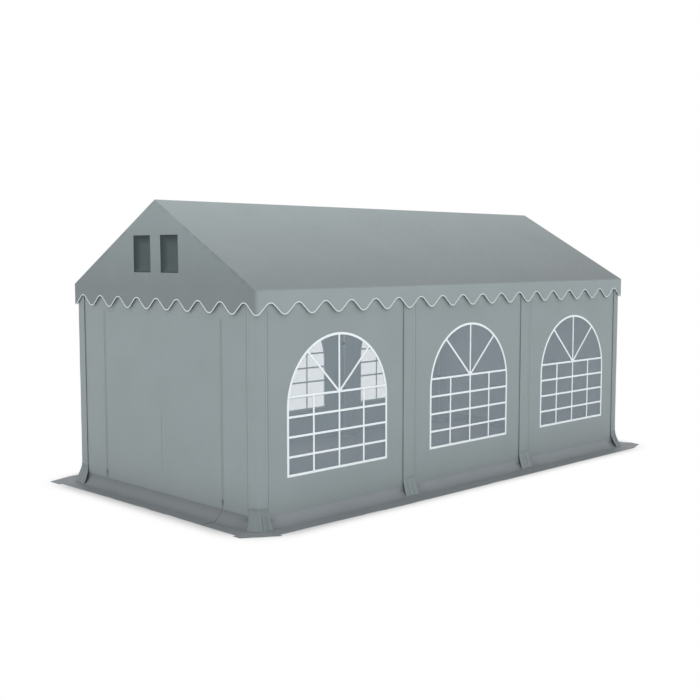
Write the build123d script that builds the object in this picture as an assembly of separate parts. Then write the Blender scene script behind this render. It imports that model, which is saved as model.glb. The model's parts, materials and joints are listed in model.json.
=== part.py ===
from build123d import *
import os
from math import atan2, cos, radians, sin, tan

# A frame tent with a gable roof: round steel tubes in welded corner sockets carry a coated-cloth
# cover, walls with arched windows, and a lifting door in each end wall.
# Frame: origin on the ground under the middle of the tent, +Y along the ridge, +Z up, millimetres.
# The front gable faces -Y, and right means +X.

# Cover
roof_width = 3000.0  # across the eaves
roof_length = 6000.0  # along the ridge
ridge_height = 2964.0  # top of the cover at the ridge
eave_height = 2127.0  # top of the cover at the eave edge
cover_t = 2.0  # drawn thickness of every cloth sheet

# Scalloped hem of the valance
hem_low = 1905.0  # lowest point of the drops
wave_depth = 104.0  # from the drops to the rises between them
wave_flank = 42.0  # steepness of the straight stretches, degrees
waves_across = 9
waves_along = 18
piping_width = 12.0
piping_t = 4.0

# Vents in the gables
vent_width = 285.0
vent_height = 360.0
vent_drop = 341.0  # top of the vents below the ridge
vent_spacing = 452.0  # between the two vents' middles
vent_overlap = 20.0
mesh_t = 1.0

# Steel tubes and their sockets
tube_r = 19.0
tube_wall = 1.2
socket_fit = 0.3  # between tube and socket
socket_wall = 2.0
socket_reach = 140.0  # from the node to the mouth
corner_leg_reach = 170.0
socket_stop = 30.0  # solid root at the node
ball_proud = 0.4  # node's weld ball beyond the sockets' skin
end_gap = 0.5  # between a tube's end and the stop
tie_drop = 95.0  # the gable tie below the eave node
bays = 3

# Thumb screws in nuts welded to the sockets
boss_r = 8.0
boss_height = 11.0
screw_r = 4.0
screw_fit = 0.2
screw_tip_gap = 0.1
screw_length = 24.0
knob_r = 10.0
knob_height = 7.0
screw_setback = 35.0  # from the socket's mouth

# Feet
plate_size = 150.0
plate_t = 6.0
plate_corner_r = 12.0
spigot_height = 90.0
spigot_wall = 2.5
peg_r = 6.5
peg_spacing = 100.0
peg_inset = 50.0  # inward from the leg's axis

# Where the cloth hangs
wall_inset = 24.0  # wall's outer face inside the valance's outer face
wall_gap = 0.7  # between wall and socket
cover_gap = 0.7  # between roof and socket
wall_top_gap = 8.0  # wall's top edge below the roof
wall_low = 102.0  # where the walls turn into the ground skirt
panel_slit = 4.0  # between neighbouring wall panels

# Windows
window_width = 1320.0
window_sill = 420.0
window_crown = 1712.0
window_fit = 0.3
fan_height = 1152.0  # the bar that the fan of spokes stands on
window_rows = 4
window_columns = 4
fan_angle = 45.0  # between neighbouring spokes
border_width = 21.0
bar_width = 18.0
film_t = 1.0
film_overlap = 15.0

# Ground skirt, sleeves and boots
skirt_run = 90.0  # how far the slope goes out
skirt_out = 280.0  # outer edge beyond the wall's middle
skirt_fold = 2.0  # short upright stretch under the wall
sleeve_width = 180.0
sleeve_wing = 94.0  # corner sleeve, from the leg's axis along each wall
sleeve_low = 120.0
sleeve_top = 2110.0
boot_top = 195.0
boot_knee = 95.0
boot_foot = 2.5
boot_knee_out = 12.0  # beyond the boot's own top
boot_foot_out = 110.0
boot_foot_spread = 15.0  # wider on each side at the ground
boot_foot_r = 70.0
boot_knee_r = 34.0
flap_end = 64.0  # where the corner flap's slanting cut begins, beyond the wall
flap_slit = 0.5
corner_skirt_over = 18.0  # end skirt beyond the leg's axis
side_skirt_short = 12.0  # side skirt short of the leg's axis

# Doors
zip_x = 970.0
door_slit = 4.0  # between door and jamb, under the zip
door_head = 1860.5  # lower edge of the cloth above the door
head_gap = 0.5
door_lift = 1.0  # door's skirt above the ground
tape_width = 20.0
tape_t = 1.0
teeth_width = 3.0
teeth_t = 2.5
teeth_gap = 0.4
zip_margin = 10.0

# Zip sliders and their pulls
slider_height = 190.0
slider_width = 28.0
slider_length = 36.0
slider_t = 3.0
slider_fit = 0.3
lug_t = 3.0
lug_length = 10.0
lug_out = 8.0
lug_side_gap = 0.3
barrel_half = 3.7
barrel_r = 2.4
pin_r = 1.0
pin_fit = 0.08
pin_out = 5.0  # pin's axis in front of the slider's face
pull_neck = 7.0
pull_width = 14.0
pull_length = 42.0
pull_t = 2.0

# Webbing straps that tie the walls to the tubes
strap_fit = 0.4
strap_t = 2.0
strap_width = 30.0
straps_per_bay = 3
straps_per_tie = 5
leg_strap_heights = (650.0, 1250.0)

# Worked out from the sizes above
half_w = roof_width / 2
half_l = roof_length / 2
slope = atan2(ridge_height - eave_height, half_w)
cover_rise = cover_t / cos(slope)
vent_low = ridge_height - vent_drop - vent_height
socket_r = tube_r + socket_fit + socket_wall
bore_r = tube_r + socket_fit
wall_x = half_w - wall_inset
wall_y = half_l - wall_inset
leg_x = wall_x - cover_t - wall_gap - socket_r
leg_y = wall_y - cover_t - wall_gap - socket_r
leg_rows = [leg_y * (2 * i / bays - 1) for i in range(bays + 1)]
axis_drop = (cover_t + cover_gap + socket_r) / cos(slope)
eave_z = ridge_height - leg_x * tan(slope) - axis_drop
ridge_z = ridge_height - axis_drop
tie_z = eave_z - tie_drop
wall_top = ridge_height - wall_x * tan(slope) - cover_rise - wall_top_gap
hinge_z = door_head - head_gap - cover_t / 2
door_edge = zip_x - door_slit / 2
jamb_edge = zip_x + door_slit / 2
screw_root = tube_r + screw_tip_gap

UP = Vector(0, 0, 1)
DOWN = Vector(0, 0, -1)
FRONT_TO_REAR = Vector(0, 1, 0)
REAR_TO_FRONT = Vector(0, -1, 0)
ACROSS = Vector(1, 0, 0)
INWARD = Vector(-1, 0, 0)  # on the right-hand side
UP_SLOPE = Vector(-cos(slope), 0, sin(slope))
UNDER_SLOPE = Vector(-sin(slope), 0, -cos(slope))


def save(node, *pieces):
    """Write one node, each of its solids apart."""
    solids = [solid for piece in pieces for solid in piece.solids()]
    export_step(Compound(children=solids), f"parts/{node}.step")


def across(outline, y_low, depth):
    """Sheet drawn in X and Z, thick along Y."""
    plane = Plane(origin=(0, y_low, 0), x_dir=(1, 0, 0), z_dir=(0, -1, 0))
    return extrude(plane * outline, amount=depth, dir=(0, 1, 0))


def along(outline, x_low, depth):
    """Sheet drawn in Y and Z, thick along X."""
    plane = Plane(origin=(x_low, 0, 0), x_dir=(0, 1, 0), z_dir=(1, 0, 0))
    return extrude(plane * outline, amount=depth, dir=(1, 0, 0))


def upright(outline, z_low, height):
    """Prism drawn in X and Y."""
    return extrude(Pos(0, 0, z_low) * outline, amount=height, dir=(0, 0, 1))


def area(*points):
    """Closed outline with straight sides."""
    return make_face(Polyline(*points, close=True))


def rect(left, low, right, high):
    """Rectangle given by two corners."""
    return Pos((left + right) / 2, (low + high) / 2) * Rectangle(right - left, high - low)


def block(low, high):
    """Box given by two corners."""
    return upright(rect(low[0], low[1], high[0], high[1]), low[2], high[2] - low[2])


def rod(start, way, length, radius):
    """Round bar from a point along a direction."""
    plane = Plane(origin=start, z_dir=way)
    return plane * Cylinder(radius, length, align=(Align.CENTER, Align.CENTER, Align.MIN))


def tube(start, end):
    """Steel tube between two points."""
    span = end - start
    way = span.normalized()
    return rod(start, way, span.length, tube_r) - rod(start, way, span.length, tube_r - tube_wall)


def left_of(piece):
    """The same piece on the left-hand side."""
    return mirror(piece, about=Plane.YZ)


def rear_of(piece):
    """The same piece at the rear."""
    return mirror(piece, about=Plane.XZ)


def both_sides(pieces):
    """Pieces of the right-hand side and their mirror images."""
    return [*pieces, *[left_of(piece) for piece in pieces]]


def four_corners(piece):
    """A piece of the front right corner, repeated at every corner."""
    return both_sides([piece, rear_of(piece)])


def bent_sheet(points, thickness):
    """Outline of a thin sheet whose middle follows the points, mitred at the bends."""
    middle = [Vector(*point) for point in points]
    ways = [(b - a).normalized() for a, b in zip(middle, middle[1:])]
    sides = [Vector(-way.Y, way.X) for way in ways]
    offsets = [sides[0]]
    for before, after in zip(sides, sides[1:]):
        offsets.append((before + after) / (1 + before.dot(after)))
    offsets.append(sides[-1])
    one = [point + offset * (thickness / 2) for point, offset in zip(middle, offsets)]
    other = [point - offset * (thickness / 2) for point, offset in zip(middle, offsets)]
    return area(*[(p.X, p.Y) for p in one], *[(p.X, p.Y) for p in reversed(other)])


# Steel frame

def socket_cluster(branches):
    """Welded connector: branches are (root, direction, reach, direction of its thumb screw)."""
    cluster = Pos(*tuple(branches[0][0])) * Sphere(socket_r + ball_proud)
    for root, way, reach, screw_way in branches:
        nut = root + way * (reach - screw_setback) + screw_way * tube_r
        cluster += rod(root, way, reach, socket_r)
        cluster += rod(nut, screw_way, boss_height, boss_r)
    for root, way, reach, screw_way in branches:
        seat = root + way * (reach - screw_setback)
        cluster -= rod(root + way * socket_stop, way, reach, bore_r)
        cluster -= rod(seat, screw_way, screw_root + screw_length, screw_r + screw_fit)
    return cluster


def socket_screws(branches):
    """The thumb screws of one connector."""
    screws = []
    for root, way, reach, screw_way in branches:
        start = root + way * (reach - screw_setback) + screw_way * screw_root
        knob = rod(start + screw_way * (screw_length - knob_height), screw_way, knob_height, knob_r)
        screws.append(rod(start, screw_way, screw_length, screw_r) + knob)
    return screws


def corner_branches():
    """Front right corner: leg, rafter, eave purlin and gable tie."""
    node = Vector(leg_x, -leg_y, eave_z)
    return [
        (node, DOWN, corner_leg_reach, FRONT_TO_REAR),
        (node, UP_SLOPE, socket_reach, UNDER_SLOPE),
        (node, FRONT_TO_REAR, socket_reach, DOWN),
        (node + DOWN * tie_drop, INWARD, socket_reach, DOWN),
    ]


def eave_branches(row):
    """Middle of the right-hand eave: leg, rafter and two purlins."""
    node = Vector(leg_x, row, eave_z)
    return [
        (node, DOWN, socket_reach, INWARD),
        (node, UP_SLOPE, socket_reach, UNDER_SLOPE),
        (node, FRONT_TO_REAR, socket_reach, DOWN),
        (node, REAR_TO_FRONT, socket_reach, DOWN),
    ]


def ridge_branches(row):
    """Ridge: two rafters, with purlins towards the tent's inside."""
    node = Vector(0, row, ridge_z)
    branches = [
        (node, UP_SLOPE * -1, socket_reach, UNDER_SLOPE),
        (node, Vector(-cos(slope), 0, -sin(slope)), socket_reach, Vector(sin(slope), 0, -cos(slope))),
    ]
    if row < leg_rows[-1]:
        branches.append((node, FRONT_TO_REAR, socket_reach, DOWN))
    if row > leg_rows[0]:
        branches.append((node, REAR_TO_FRONT, socket_reach, DOWN))
    return branches


def build_connectors():
    """Connectors and their thumb screws."""
    corner = corner_branches()
    middles = [eave_branches(row) for row in leg_rows[1:-1]]
    ridges = [ridge_branches(row) for row in leg_rows]
    save("corner_connectors", *four_corners(socket_cluster(corner)))
    save("eave_connectors", *both_sides([socket_cluster(branches) for branches in middles]))
    save("ridge_connectors", *[socket_cluster(branches) for branches in ridges])
    screws = [screw for piece in socket_screws(corner) for screw in four_corners(piece)]
    for branches in middles:
        screws += both_sides(socket_screws(branches))
    for branches in ridges:
        screws += socket_screws(branches)
    save("thumb_screws", *screws)


def build_tubes():
    """Legs, rafters, purlins and gable ties, cut to length between their stops."""
    inset = socket_stop + end_gap
    for i, row in enumerate(leg_rows, start=1):
        leg = tube(Vector(leg_x, row, plate_t), Vector(leg_x, row, eave_z - inset))
        save(f"leg_right_{i}", leg)
        save(f"leg_left_{i}", left_of(leg))
    rafters = []
    for row in leg_rows:
        low = Vector(leg_x, row, eave_z) + UP_SLOPE * inset
        high = Vector(0, row, ridge_z) - UP_SLOPE * inset
        rafters.append(tube(low, high))
    save("rafters", *both_sides(rafters))
    eaves, ridges = [], []
    for front, rear in zip(leg_rows, leg_rows[1:]):
        eaves.append(tube(Vector(leg_x, front + inset, eave_z), Vector(leg_x, rear - inset, eave_z)))
        ridges.append(tube(Vector(0, front + inset, ridge_z), Vector(0, rear - inset, ridge_z)))
    save("eave_purlins", *both_sides(eaves))
    save("ridge_purlins", *ridges)
    tie = tube(Vector(leg_x - inset, -leg_y, tie_z), Vector(inset - leg_x, -leg_y, tie_z))
    save("gable_ties", tie, rear_of(tie))


def build_feet():
    """Foot plates with a spigot inside each leg and two peg holes on the inside."""
    spigot_r = tube_r - tube_wall - socket_fit
    feet = []
    for row in leg_rows:
        plate = Pos(leg_x, row) * RectangleRounded(plate_size, plate_size, plate_corner_r)
        for side in (-1, 1):
            plate -= Pos(leg_x - peg_inset, row + side * peg_spacing / 2) * Circle(peg_r)
        spigot = Pos(leg_x, row) * (Circle(spigot_r) - Circle(spigot_r - spigot_wall))
        feet.append(upright(plate, 0, plate_t) + upright(spigot, plate_t, spigot_height))
    save("foot_plates", *both_sides(feet))


# Cover

def above_wave(length, waves, lift):
    """Everything above the scalloped line, which is raised square to itself by lift."""
    pitch = length / waves
    flank = radians(wave_flank)
    sharpness = 1 / cos(flank) - 1
    tip_r = (pitch / 2 * tan(flank) - wave_depth) / (2 * sharpness)
    rise = lift / cos(flank)
    low = hem_low - tip_r * sharpness + rise
    high = hem_low + wave_depth + tip_r * sharpness + rise
    points, radii = [], []
    for i in range(-1, 2 * waves + 2):
        is_drop = i % 2 == 0
        points.append(((i * pitch - length) / 2, low if is_drop else high))
        radii.append(tip_r - lift if is_drop else tip_r + lift)
    wave = FilletPolyline(*points, radius=radii[1:-1])
    start, end = points[0], points[-1]
    lid = Polyline(end, (end[0], ridge_height), (start[0], ridge_height), start)
    return make_face([*wave.edges(), *lid.edges()])


def build_roof():
    """Two roof slopes, two gables with vents, and the valances along the sides."""
    eave_under = eave_height - cover_rise
    ridge_under = ridge_height - cover_rise
    half = area((0, ridge_height), (half_w, eave_height), (half_w, eave_under), (0, ridge_under))
    panel = across(half, -half_l, roof_length)
    save("roof_panel_right", panel)
    save("roof_panel_left", left_of(panel))

    house = area((-half_w, hem_low), (half_w, hem_low), (half_w, eave_under), (0, ridge_under),
                 (-half_w, eave_under))
    house &= above_wave(roof_width, waves_across, piping_width)
    meshes = []
    for side in (-1, 1):
        low = (side * vent_spacing - vent_width) / 2
        house -= rect(low, vent_low, low + vent_width, vent_low + vent_height)
        screen = rect(low - vent_overlap, vent_low - vent_overlap,
                      low + vent_width + vent_overlap, vent_low + vent_height + vent_overlap)
        meshes.append(across(screen, cover_t - half_l, mesh_t))
    gable = across(house, -half_l, cover_t)
    save("gable_front", gable)
    save("gable_rear", rear_of(gable))
    save("vent_meshes", *meshes, *[rear_of(mesh) for mesh in meshes])

    inner_l = half_l - cover_t
    strip = rect(-inner_l, hem_low, inner_l, eave_under)
    valance = along(strip & above_wave(roof_length, waves_along, piping_width), half_w - cover_t, cover_t)
    save("valance_right", valance)
    save("valance_left", left_of(valance))


def build_piping():
    """White binding along the scalloped hem, standing a little proud of the cloth."""
    proud = (piping_t - cover_t) / 2
    reach_x = half_w + proud
    reach_y = half_l + proud - piping_t
    end_band = above_wave(roof_width, waves_across, 0) - above_wave(roof_width, waves_across, piping_width)
    side_band = above_wave(roof_length, waves_along, 0) - above_wave(roof_length, waves_along, piping_width)
    end_band &= rect(-reach_x, 0, reach_x, eave_height)
    side_band &= rect(-reach_y, 0, reach_y, eave_height)
    end = across(end_band, -half_l - proud, piping_t)
    side = along(side_band, half_w + proud - piping_t, piping_t)
    save("hem_piping", end, rear_of(end), side, left_of(side))


# Walls

def window_outline(grow):
    """Arched window about the middle of its bay, grown on every side."""
    half = window_width / 2 + grow
    foot = window_sill - grow
    spring = window_crown - window_width / 2
    arch = ThreePointArc((-half, spring), (0, window_crown + grow), (half, spring))
    sides = Polyline((half, spring), (half, foot), (-half, foot), (-half, spring))
    return make_face([*arch.edges(), *sides.edges()])


def window_lattice():
    """White border with bars below and a fan of spokes above."""
    outer = window_outline(-window_fit)
    inner = window_outline(-window_fit - border_width)
    half = window_width / 2
    row = (fan_height - window_sill) / window_rows
    column = window_width / window_columns
    bars = Sketch()
    for i in range(1, window_rows + 1):
        z = window_sill + i * row
        bars += rect(-half, z - bar_width / 2, half, z + bar_width / 2)
    for i in range(1, window_columns):
        y = i * column - half
        bars += rect(y - bar_width / 2, window_sill, y + bar_width / 2, fan_height)
    for turn in (-fan_angle, 0, fan_angle):
        bars += Pos(0, fan_height) * Rot(0, 0, turn) * rect(-bar_width / 2, 0, bar_width / 2, window_width)
    return (outer - inner) + (bars & window_outline(-window_fit - border_width / 2))


def build_side_walls():
    """Side panels between the legs, each with its window's film and lattice."""
    films, lattices = [], []
    lattice = window_lattice()
    for i, (front, rear) in enumerate(zip(leg_rows, leg_rows[1:]), start=1):
        middle = (front + rear) / 2
        front_edge = front if i == 1 else front + panel_slit / 2
        rear_edge = rear if i == bays else rear - panel_slit / 2
        sheet = rect(front_edge, wall_low, rear_edge, wall_top) - Pos(middle, 0) * window_outline(0)
        panel = along(sheet, wall_x - cover_t, cover_t)
        save(f"side_panel_right_{i}", panel)
        save(f"side_panel_left_{i}", left_of(panel))
        film = Pos(middle, 0) * window_outline(film_overlap)
        films.append(along(film, wall_x - cover_t - film_t, film_t))
        lattices.append(along(Pos(middle, 0) * lattice, wall_x - cover_t, cover_t))
    save("window_films", *both_sides(films))
    save("window_bars", *both_sides(lattices))


def build_end_walls():
    """Fixed cloth of the end walls: two jambs and the head over the door."""
    jamb = across(rect(jamb_edge, wall_low, leg_x, door_head), -wall_y, cover_t)
    head = across(rect(-leg_x, door_head, leg_x, wall_top), -wall_y, cover_t)
    front = [jamb, left_of(jamb), head]
    save("end_wall_front", *front)
    save("end_wall_rear", *[rear_of(piece) for piece in front])


def skirt_outline(wall, lift):
    """Skirt's section: down the wall's foot, out along the slope, then flat on the ground."""
    middle = wall - cover_t / 2
    flat = cover_t / 2 + lift
    points = [
        (middle, wall_low),
        (middle, wall_low - skirt_fold),
        (middle + skirt_run, flat),
        (middle + skirt_out, flat),
    ]
    return bent_sheet(points, cover_t)


def end_skirt(left, right, lift):
    """Skirt under the front wall between two places across it."""
    plane = Plane(origin=(left, 0, 0), x_dir=(0, -1, 0), z_dir=(-1, 0, 0))
    return extrude(plane * skirt_outline(wall_y, lift), amount=right - left, dir=(1, 0, 0))


def build_skirts():
    """Ground skirts of the fixed walls and the flat flaps at the corners."""
    side = skirt_outline(wall_x, 0)
    sides = []
    for i, (front, rear) in enumerate(zip(leg_rows, leg_rows[1:]), start=1):
        front_edge = front + (side_skirt_short if i == 1 else panel_slit / 2)
        rear_edge = rear - (side_skirt_short if i == bays else panel_slit / 2)
        sides.append(across(side, front_edge, rear_edge - front_edge))
    save("side_skirts", *both_sides(sides))
    end = end_skirt(jamb_edge, leg_x + corner_skirt_over, 0)
    save("end_skirts", *four_corners(end))

    outer_x = wall_x - cover_t / 2 + skirt_out
    outer_y = wall_y - cover_t / 2 + skirt_out
    from_end = leg_x + corner_skirt_over + flap_slit
    from_side = side_skirt_short - leg_y - flap_slit
    toe_x = wall_x + skirt_run + flap_slit
    toe_y = -wall_y - skirt_run - flap_slit
    plate_x = leg_x + plate_size / 2 + plate_corner_r
    plate_y = -leg_y - plate_size / 2 - plate_corner_r
    flap = area((from_end, -outer_y), (wall_x + flap_end, -outer_y), (outer_x, from_side),
                (toe_x, from_side), (plate_x, plate_y), (from_end, toe_y))
    save("corner_flaps", *four_corners(upright(flap, 0, cover_t)))


def corner_path(reach, radius, wing):
    """Points round the front right corner, at a distance from the leg's axis: line, arc, line."""
    x, y = leg_x + reach, -leg_y - reach
    hub_x, hub_y = x - radius, y + radius
    bend = radius * sin(radians(45))
    return [(x, wing - leg_y), (x, hub_y), (hub_x + bend, hub_y - bend), (hub_x, y), (leg_x - wing, y)]


def corner_band(out, corner_r, wing, height):
    """Thin band round the front right corner, its outer face standing out from the leg's axis."""
    outer = corner_path(out, corner_r, wing)
    inner = corner_path(out - cover_t, corner_r - cover_t, wing)
    edges = [Line(outer[-1], inner[-1]), Line(inner[0], outer[0])]
    for path in (outer, inner):
        edges += [Line(*path[:2]), ThreePointArc(*path[1:4]), Line(*path[3:])]
    return Pos(0, 0, height) * make_face(edges)


def post_band(out, half, height):
    """Thin straight band in front of a middle leg."""
    return Pos(0, 0, height) * rect(leg_x + out - cover_t, -half, leg_x + out, half)


def build_sleeves():
    """Sleeves over the legs' outer sides, and the boots that flare out at the ground."""
    out = wall_x - leg_x + cover_t
    height = sleeve_top - sleeve_low
    corner = upright(corner_band(out, out, sleeve_wing, 0), sleeve_low, height)
    save("corner_sleeves", *four_corners(corner))
    posts = [upright(Pos(0, row) * post_band(out, sleeve_width / 2, 0), sleeve_low, height)
             for row in leg_rows[1:-1]]
    save("post_sleeves", *both_sides(posts))

    top_out = out + cover_t
    knee_out = top_out + boot_knee_out
    foot_out = top_out + boot_foot_out
    boot = loft([
        corner_band(foot_out, boot_foot_r, sleeve_wing + boot_foot_spread, boot_foot),
        corner_band(knee_out, boot_knee_r, sleeve_wing, boot_knee),
        corner_band(top_out, top_out, sleeve_wing, boot_top),
    ], ruled=True)
    save("corner_boots", *four_corners(boot))
    half = sleeve_width / 2
    boot = loft([
        post_band(foot_out, half + boot_foot_spread, boot_foot),
        post_band(knee_out, half, boot_knee),
        post_band(top_out, half, boot_top),
    ], ruled=True)
    save("post_boots", *both_sides([Pos(0, row, 0) * boot for row in leg_rows[1:-1]]))


def strap(middle, way):
    """Webbing loop round a tube."""
    start = middle - way * (strap_width / 2)
    inner_r = tube_r + strap_fit
    return rod(start, way, strap_width, inner_r + strap_t) - rod(start, way, strap_width, inner_r)


def build_straps():
    """Loops that tie the walls to the purlins, ties and legs."""
    right = []
    for front, rear in zip(leg_rows, leg_rows[1:]):
        step = (rear - front) / (straps_per_bay + 1)
        for i in range(1, straps_per_bay + 1):
            right.append(strap(Vector(leg_x, front + i * step, eave_z), FRONT_TO_REAR))
    for row in leg_rows:
        for height in leg_strap_heights:
            right.append(strap(Vector(leg_x, row, height), UP))
    step = 2 * leg_x / (straps_per_tie + 1)
    ties = [strap(Vector(i * step - leg_x, -leg_y, tie_z), INWARD) for i in range(1, straps_per_tie + 1)]
    save("hanging_straps", *both_sides(right), *ties, *[rear_of(piece) for piece in ties])


# Doors and zips

def build_doors():
    """Lifting doors: a cloth panel with a round top edge on the lifting axis, and its skirt."""
    middle = cover_t / 2 - wall_y
    section = rect(middle - cover_t / 2, wall_low, middle + cover_t / 2, hinge_z)
    section += Pos(middle, hinge_z) * Circle(cover_t / 2)
    door = along(section, -door_edge, 2 * door_edge)
    skirt = end_skirt(-door_edge, door_edge, door_lift)
    save("front_door", door)
    save("rear_door", rear_of(door))
    save("front_door_skirt", skirt)
    save("rear_door_skirt", rear_of(skirt))


def zip_half(towards):
    """One half of the front right zip, on the door (towards -1) or on the jamb (towards 1)."""
    face = -wall_y
    near = zip_x + towards * teeth_gap / 2
    teeth = near + towards * teeth_width
    far = near + towards * tape_width
    front = face - tape_t
    outline = area((near, face), (far, face), (far, front), (teeth, front),
                   (teeth, front - teeth_t), (near, front - teeth_t))
    return upright(outline, wall_low + zip_margin, hinge_z - wall_low - 2 * zip_margin)


def build_zips():
    """Zip halves on the jambs and on the doors."""
    save("jamb_zips", *four_corners(zip_half(1)))
    pair = both_sides([zip_half(-1)])
    save("front_door_zips", *pair)
    save("rear_door_zips", *[rear_of(piece) for piece in pair])


def zip_slider(face, pin_y):
    """Slider of the front right zip: a plate, a lip on the door's side and two lugs."""
    half_x = slider_width / 2
    half_z = slider_length / 2
    low, high = slider_height - half_z, slider_height + half_z
    lip_edge = zip_x - teeth_gap / 2 - teeth_width - slider_fit
    tape_front = -wall_y - tape_t - slider_fit
    body = block((zip_x - half_x, face, low), (zip_x + half_x, face + slider_t, high))
    body += block((zip_x - half_x, face + slider_t, low), (lip_edge, tape_front, high))
    for side in (-1, 1):
        near = zip_x + side * (barrel_half + lug_side_gap)
        far = near + side * lug_t
        body += block((min(near, far), face - lug_out, slider_height - lug_length / 2),
                      (max(near, far), face, slider_height + lug_length / 2))
    pin_start = Vector(zip_x - half_x, pin_y, slider_height)
    return body - rod(pin_start, ACROSS, slider_width, pin_r + pin_fit)


def zip_pull(pin_y):
    """Pull tab of the front right zip on its cross pin."""
    pin_half = barrel_half + lug_side_gap + lug_t
    pull = rod(Vector(zip_x - pin_half, pin_y, slider_height), ACROSS, 2 * pin_half, pin_r)
    pull += rod(Vector(zip_x - barrel_half, pin_y, slider_height), ACROSS, 2 * barrel_half, barrel_r)
    neck = rect(zip_x - barrel_half, slider_height - pull_neck, zip_x + barrel_half, slider_height)
    tip = slider_height - pull_length + pull_width / 2
    tab = rect(zip_x - pull_width / 2, tip, zip_x + pull_width / 2, slider_height - pull_neck)
    tab += Pos(zip_x, tip) * Circle(pull_width / 2)
    return pull + across(neck + tab, pin_y - pull_t / 2, pull_t)


def build_sliders():
    """Sliders and pulls of the four zips."""
    face = -wall_y - tape_t - teeth_t - slider_fit - slider_t
    pin_y = face - pin_out
    pieces = {"zip_slider": zip_slider(face, pin_y), "zip_pull": zip_pull(pin_y)}
    for name, piece in pieces.items():
        save(f"{name}_front_right", piece)
        save(f"{name}_front_left", left_of(piece))
        save(f"{name}_rear_right", rear_of(piece))
        save(f"{name}_rear_left", left_of(rear_of(piece)))


os.makedirs("parts", exist_ok=True)
build_connectors()
build_tubes()
build_feet()
build_roof()
build_piping()
build_side_walls()
build_end_walls()
build_skirts()
build_sleeves()
build_straps()
build_doors()
build_zips()
build_sliders()
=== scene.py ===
"""Looks of a gable-roofed frame tent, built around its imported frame.

Metres, +Z up, +Y along the ridge with the front gable at -Y, origin on the ground under the middle.
"""
import json
import logging
import math
from dataclasses import dataclass, field
from enum import Enum
from typing import Callable, Sequence

import bmesh
import bpy
import numpy as np
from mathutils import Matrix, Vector, noise
from mathutils.geometry import delaunay_2d_cdt


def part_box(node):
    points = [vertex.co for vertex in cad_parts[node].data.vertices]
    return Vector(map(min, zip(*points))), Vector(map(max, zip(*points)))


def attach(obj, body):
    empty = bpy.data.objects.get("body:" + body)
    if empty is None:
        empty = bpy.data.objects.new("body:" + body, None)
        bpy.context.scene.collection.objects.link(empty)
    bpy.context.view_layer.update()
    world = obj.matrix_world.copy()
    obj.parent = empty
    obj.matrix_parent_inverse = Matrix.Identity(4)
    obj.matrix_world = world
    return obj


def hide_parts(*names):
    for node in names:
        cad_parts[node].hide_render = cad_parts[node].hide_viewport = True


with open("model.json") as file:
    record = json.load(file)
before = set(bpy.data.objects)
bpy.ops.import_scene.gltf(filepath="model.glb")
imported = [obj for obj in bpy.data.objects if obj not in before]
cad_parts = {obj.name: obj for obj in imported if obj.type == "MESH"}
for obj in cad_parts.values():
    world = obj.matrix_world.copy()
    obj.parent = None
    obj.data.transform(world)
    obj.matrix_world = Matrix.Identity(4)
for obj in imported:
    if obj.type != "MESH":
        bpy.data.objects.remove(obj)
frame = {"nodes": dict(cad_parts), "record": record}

LOG = logging.getLogger("tent")
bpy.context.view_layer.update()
MM = 0.001
BODY = "tent"
SIDES = {"left": -1.0, "right": 1.0}
ENDS = {"front": -1.0, "rear": 1.0}
CLOTH_MAP = "cloth"
# attribute that scales a piece's colour; most pieces use it for painted light and shade
TONE = "tone"
WAVE_NODE_RATE = 20.0  # a band pattern of scale 1 goes through this many radians each metre
FROM_LOW, FROM_HIGH, TO_LOW, TO_HIGH = 1, 2, 3, 4  # sockets of the node that maps one span to another
NOISE_SPAN = (0.3, 0.7)  # holds nearly all of a noise pattern's values
WELD = 1e-5  # points nearer than this become one
SLIVER = 1e-6  # shorter edges are dropped
EDGE_SHARE = 0.4  # points inside a patch keep this share of a step off its edges
LAP_SPACING = 1.1  # between the middles of two cloths that lap, in thicknesses
Triangles = list[tuple[int, ...]]
Tree = bpy.types.NodeTree
Socket = bpy.types.NodeSocket
Pair = tuple[float, float]
Ramp = Pair  # where a soft step starts and where it is full
Shape = Callable[[np.ndarray, np.ndarray], np.ndarray]


# Small tools

def linear(code: str) -> tuple[float, float, float, float]:
    """Turn an sRGB hex colour into linear light.

    Args:
        code: colour such as "#8f9899".

    Returns:
        Red, green, blue and an alpha of 1.
    """
    parts = [int(code[i:i + 2], 16) / 255 for i in (1, 3, 5)]
    red, green, blue = [c / 12.92 if c <= 0.04045 else ((c + 0.055) / 1.055) ** 2.4 for c in parts]
    return red, green, blue, 1.0


def feed(node: bpy.types.Node, inputs: dict) -> None:
    """Set a node's sockets.

    Args:
        node: the node.
        inputs: values by socket name or number; a value that is itself a socket is linked.
    """
    for key, value in inputs.items():
        if isinstance(value, Socket):
            node.id_data.links.new(value, node.inputs[key])
        else:
            node.inputs[key].default_value = value


def add(tree: Tree, kind: str, inputs: dict | None = None, out: str | int = 0,
        **settings: object) -> Socket:
    """Add one shader node with its settings and links.

    Args:
        tree: node tree that the node goes into.
        kind: Blender's name of the node, without the ShaderNode that it starts with.
        inputs: values or sockets by socket name or number.
        out: name or number of the output that is wanted.
        settings: attributes of the node.

    Returns:
        That output.
    """
    node = tree.nodes.new(f"ShaderNode{kind}")
    for key, value in settings.items():
        setattr(node, key, value)
    feed(node, inputs or {})
    return node.outputs[out]


def join(*parts: np.ndarray | float) -> np.ndarray:
    """Points from their coordinates, which are stretched to one shape."""
    return np.stack(np.broadcast_arrays(*parts), axis=-1)


def smooth(value: np.ndarray, low: float, high: float) -> np.ndarray:
    """Soft step from 0 at low to 1 at high."""
    t = np.clip((np.asarray(value, float) - low) / (high - low), 0, 1)
    return t * t * (3 - 2 * t)


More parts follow.
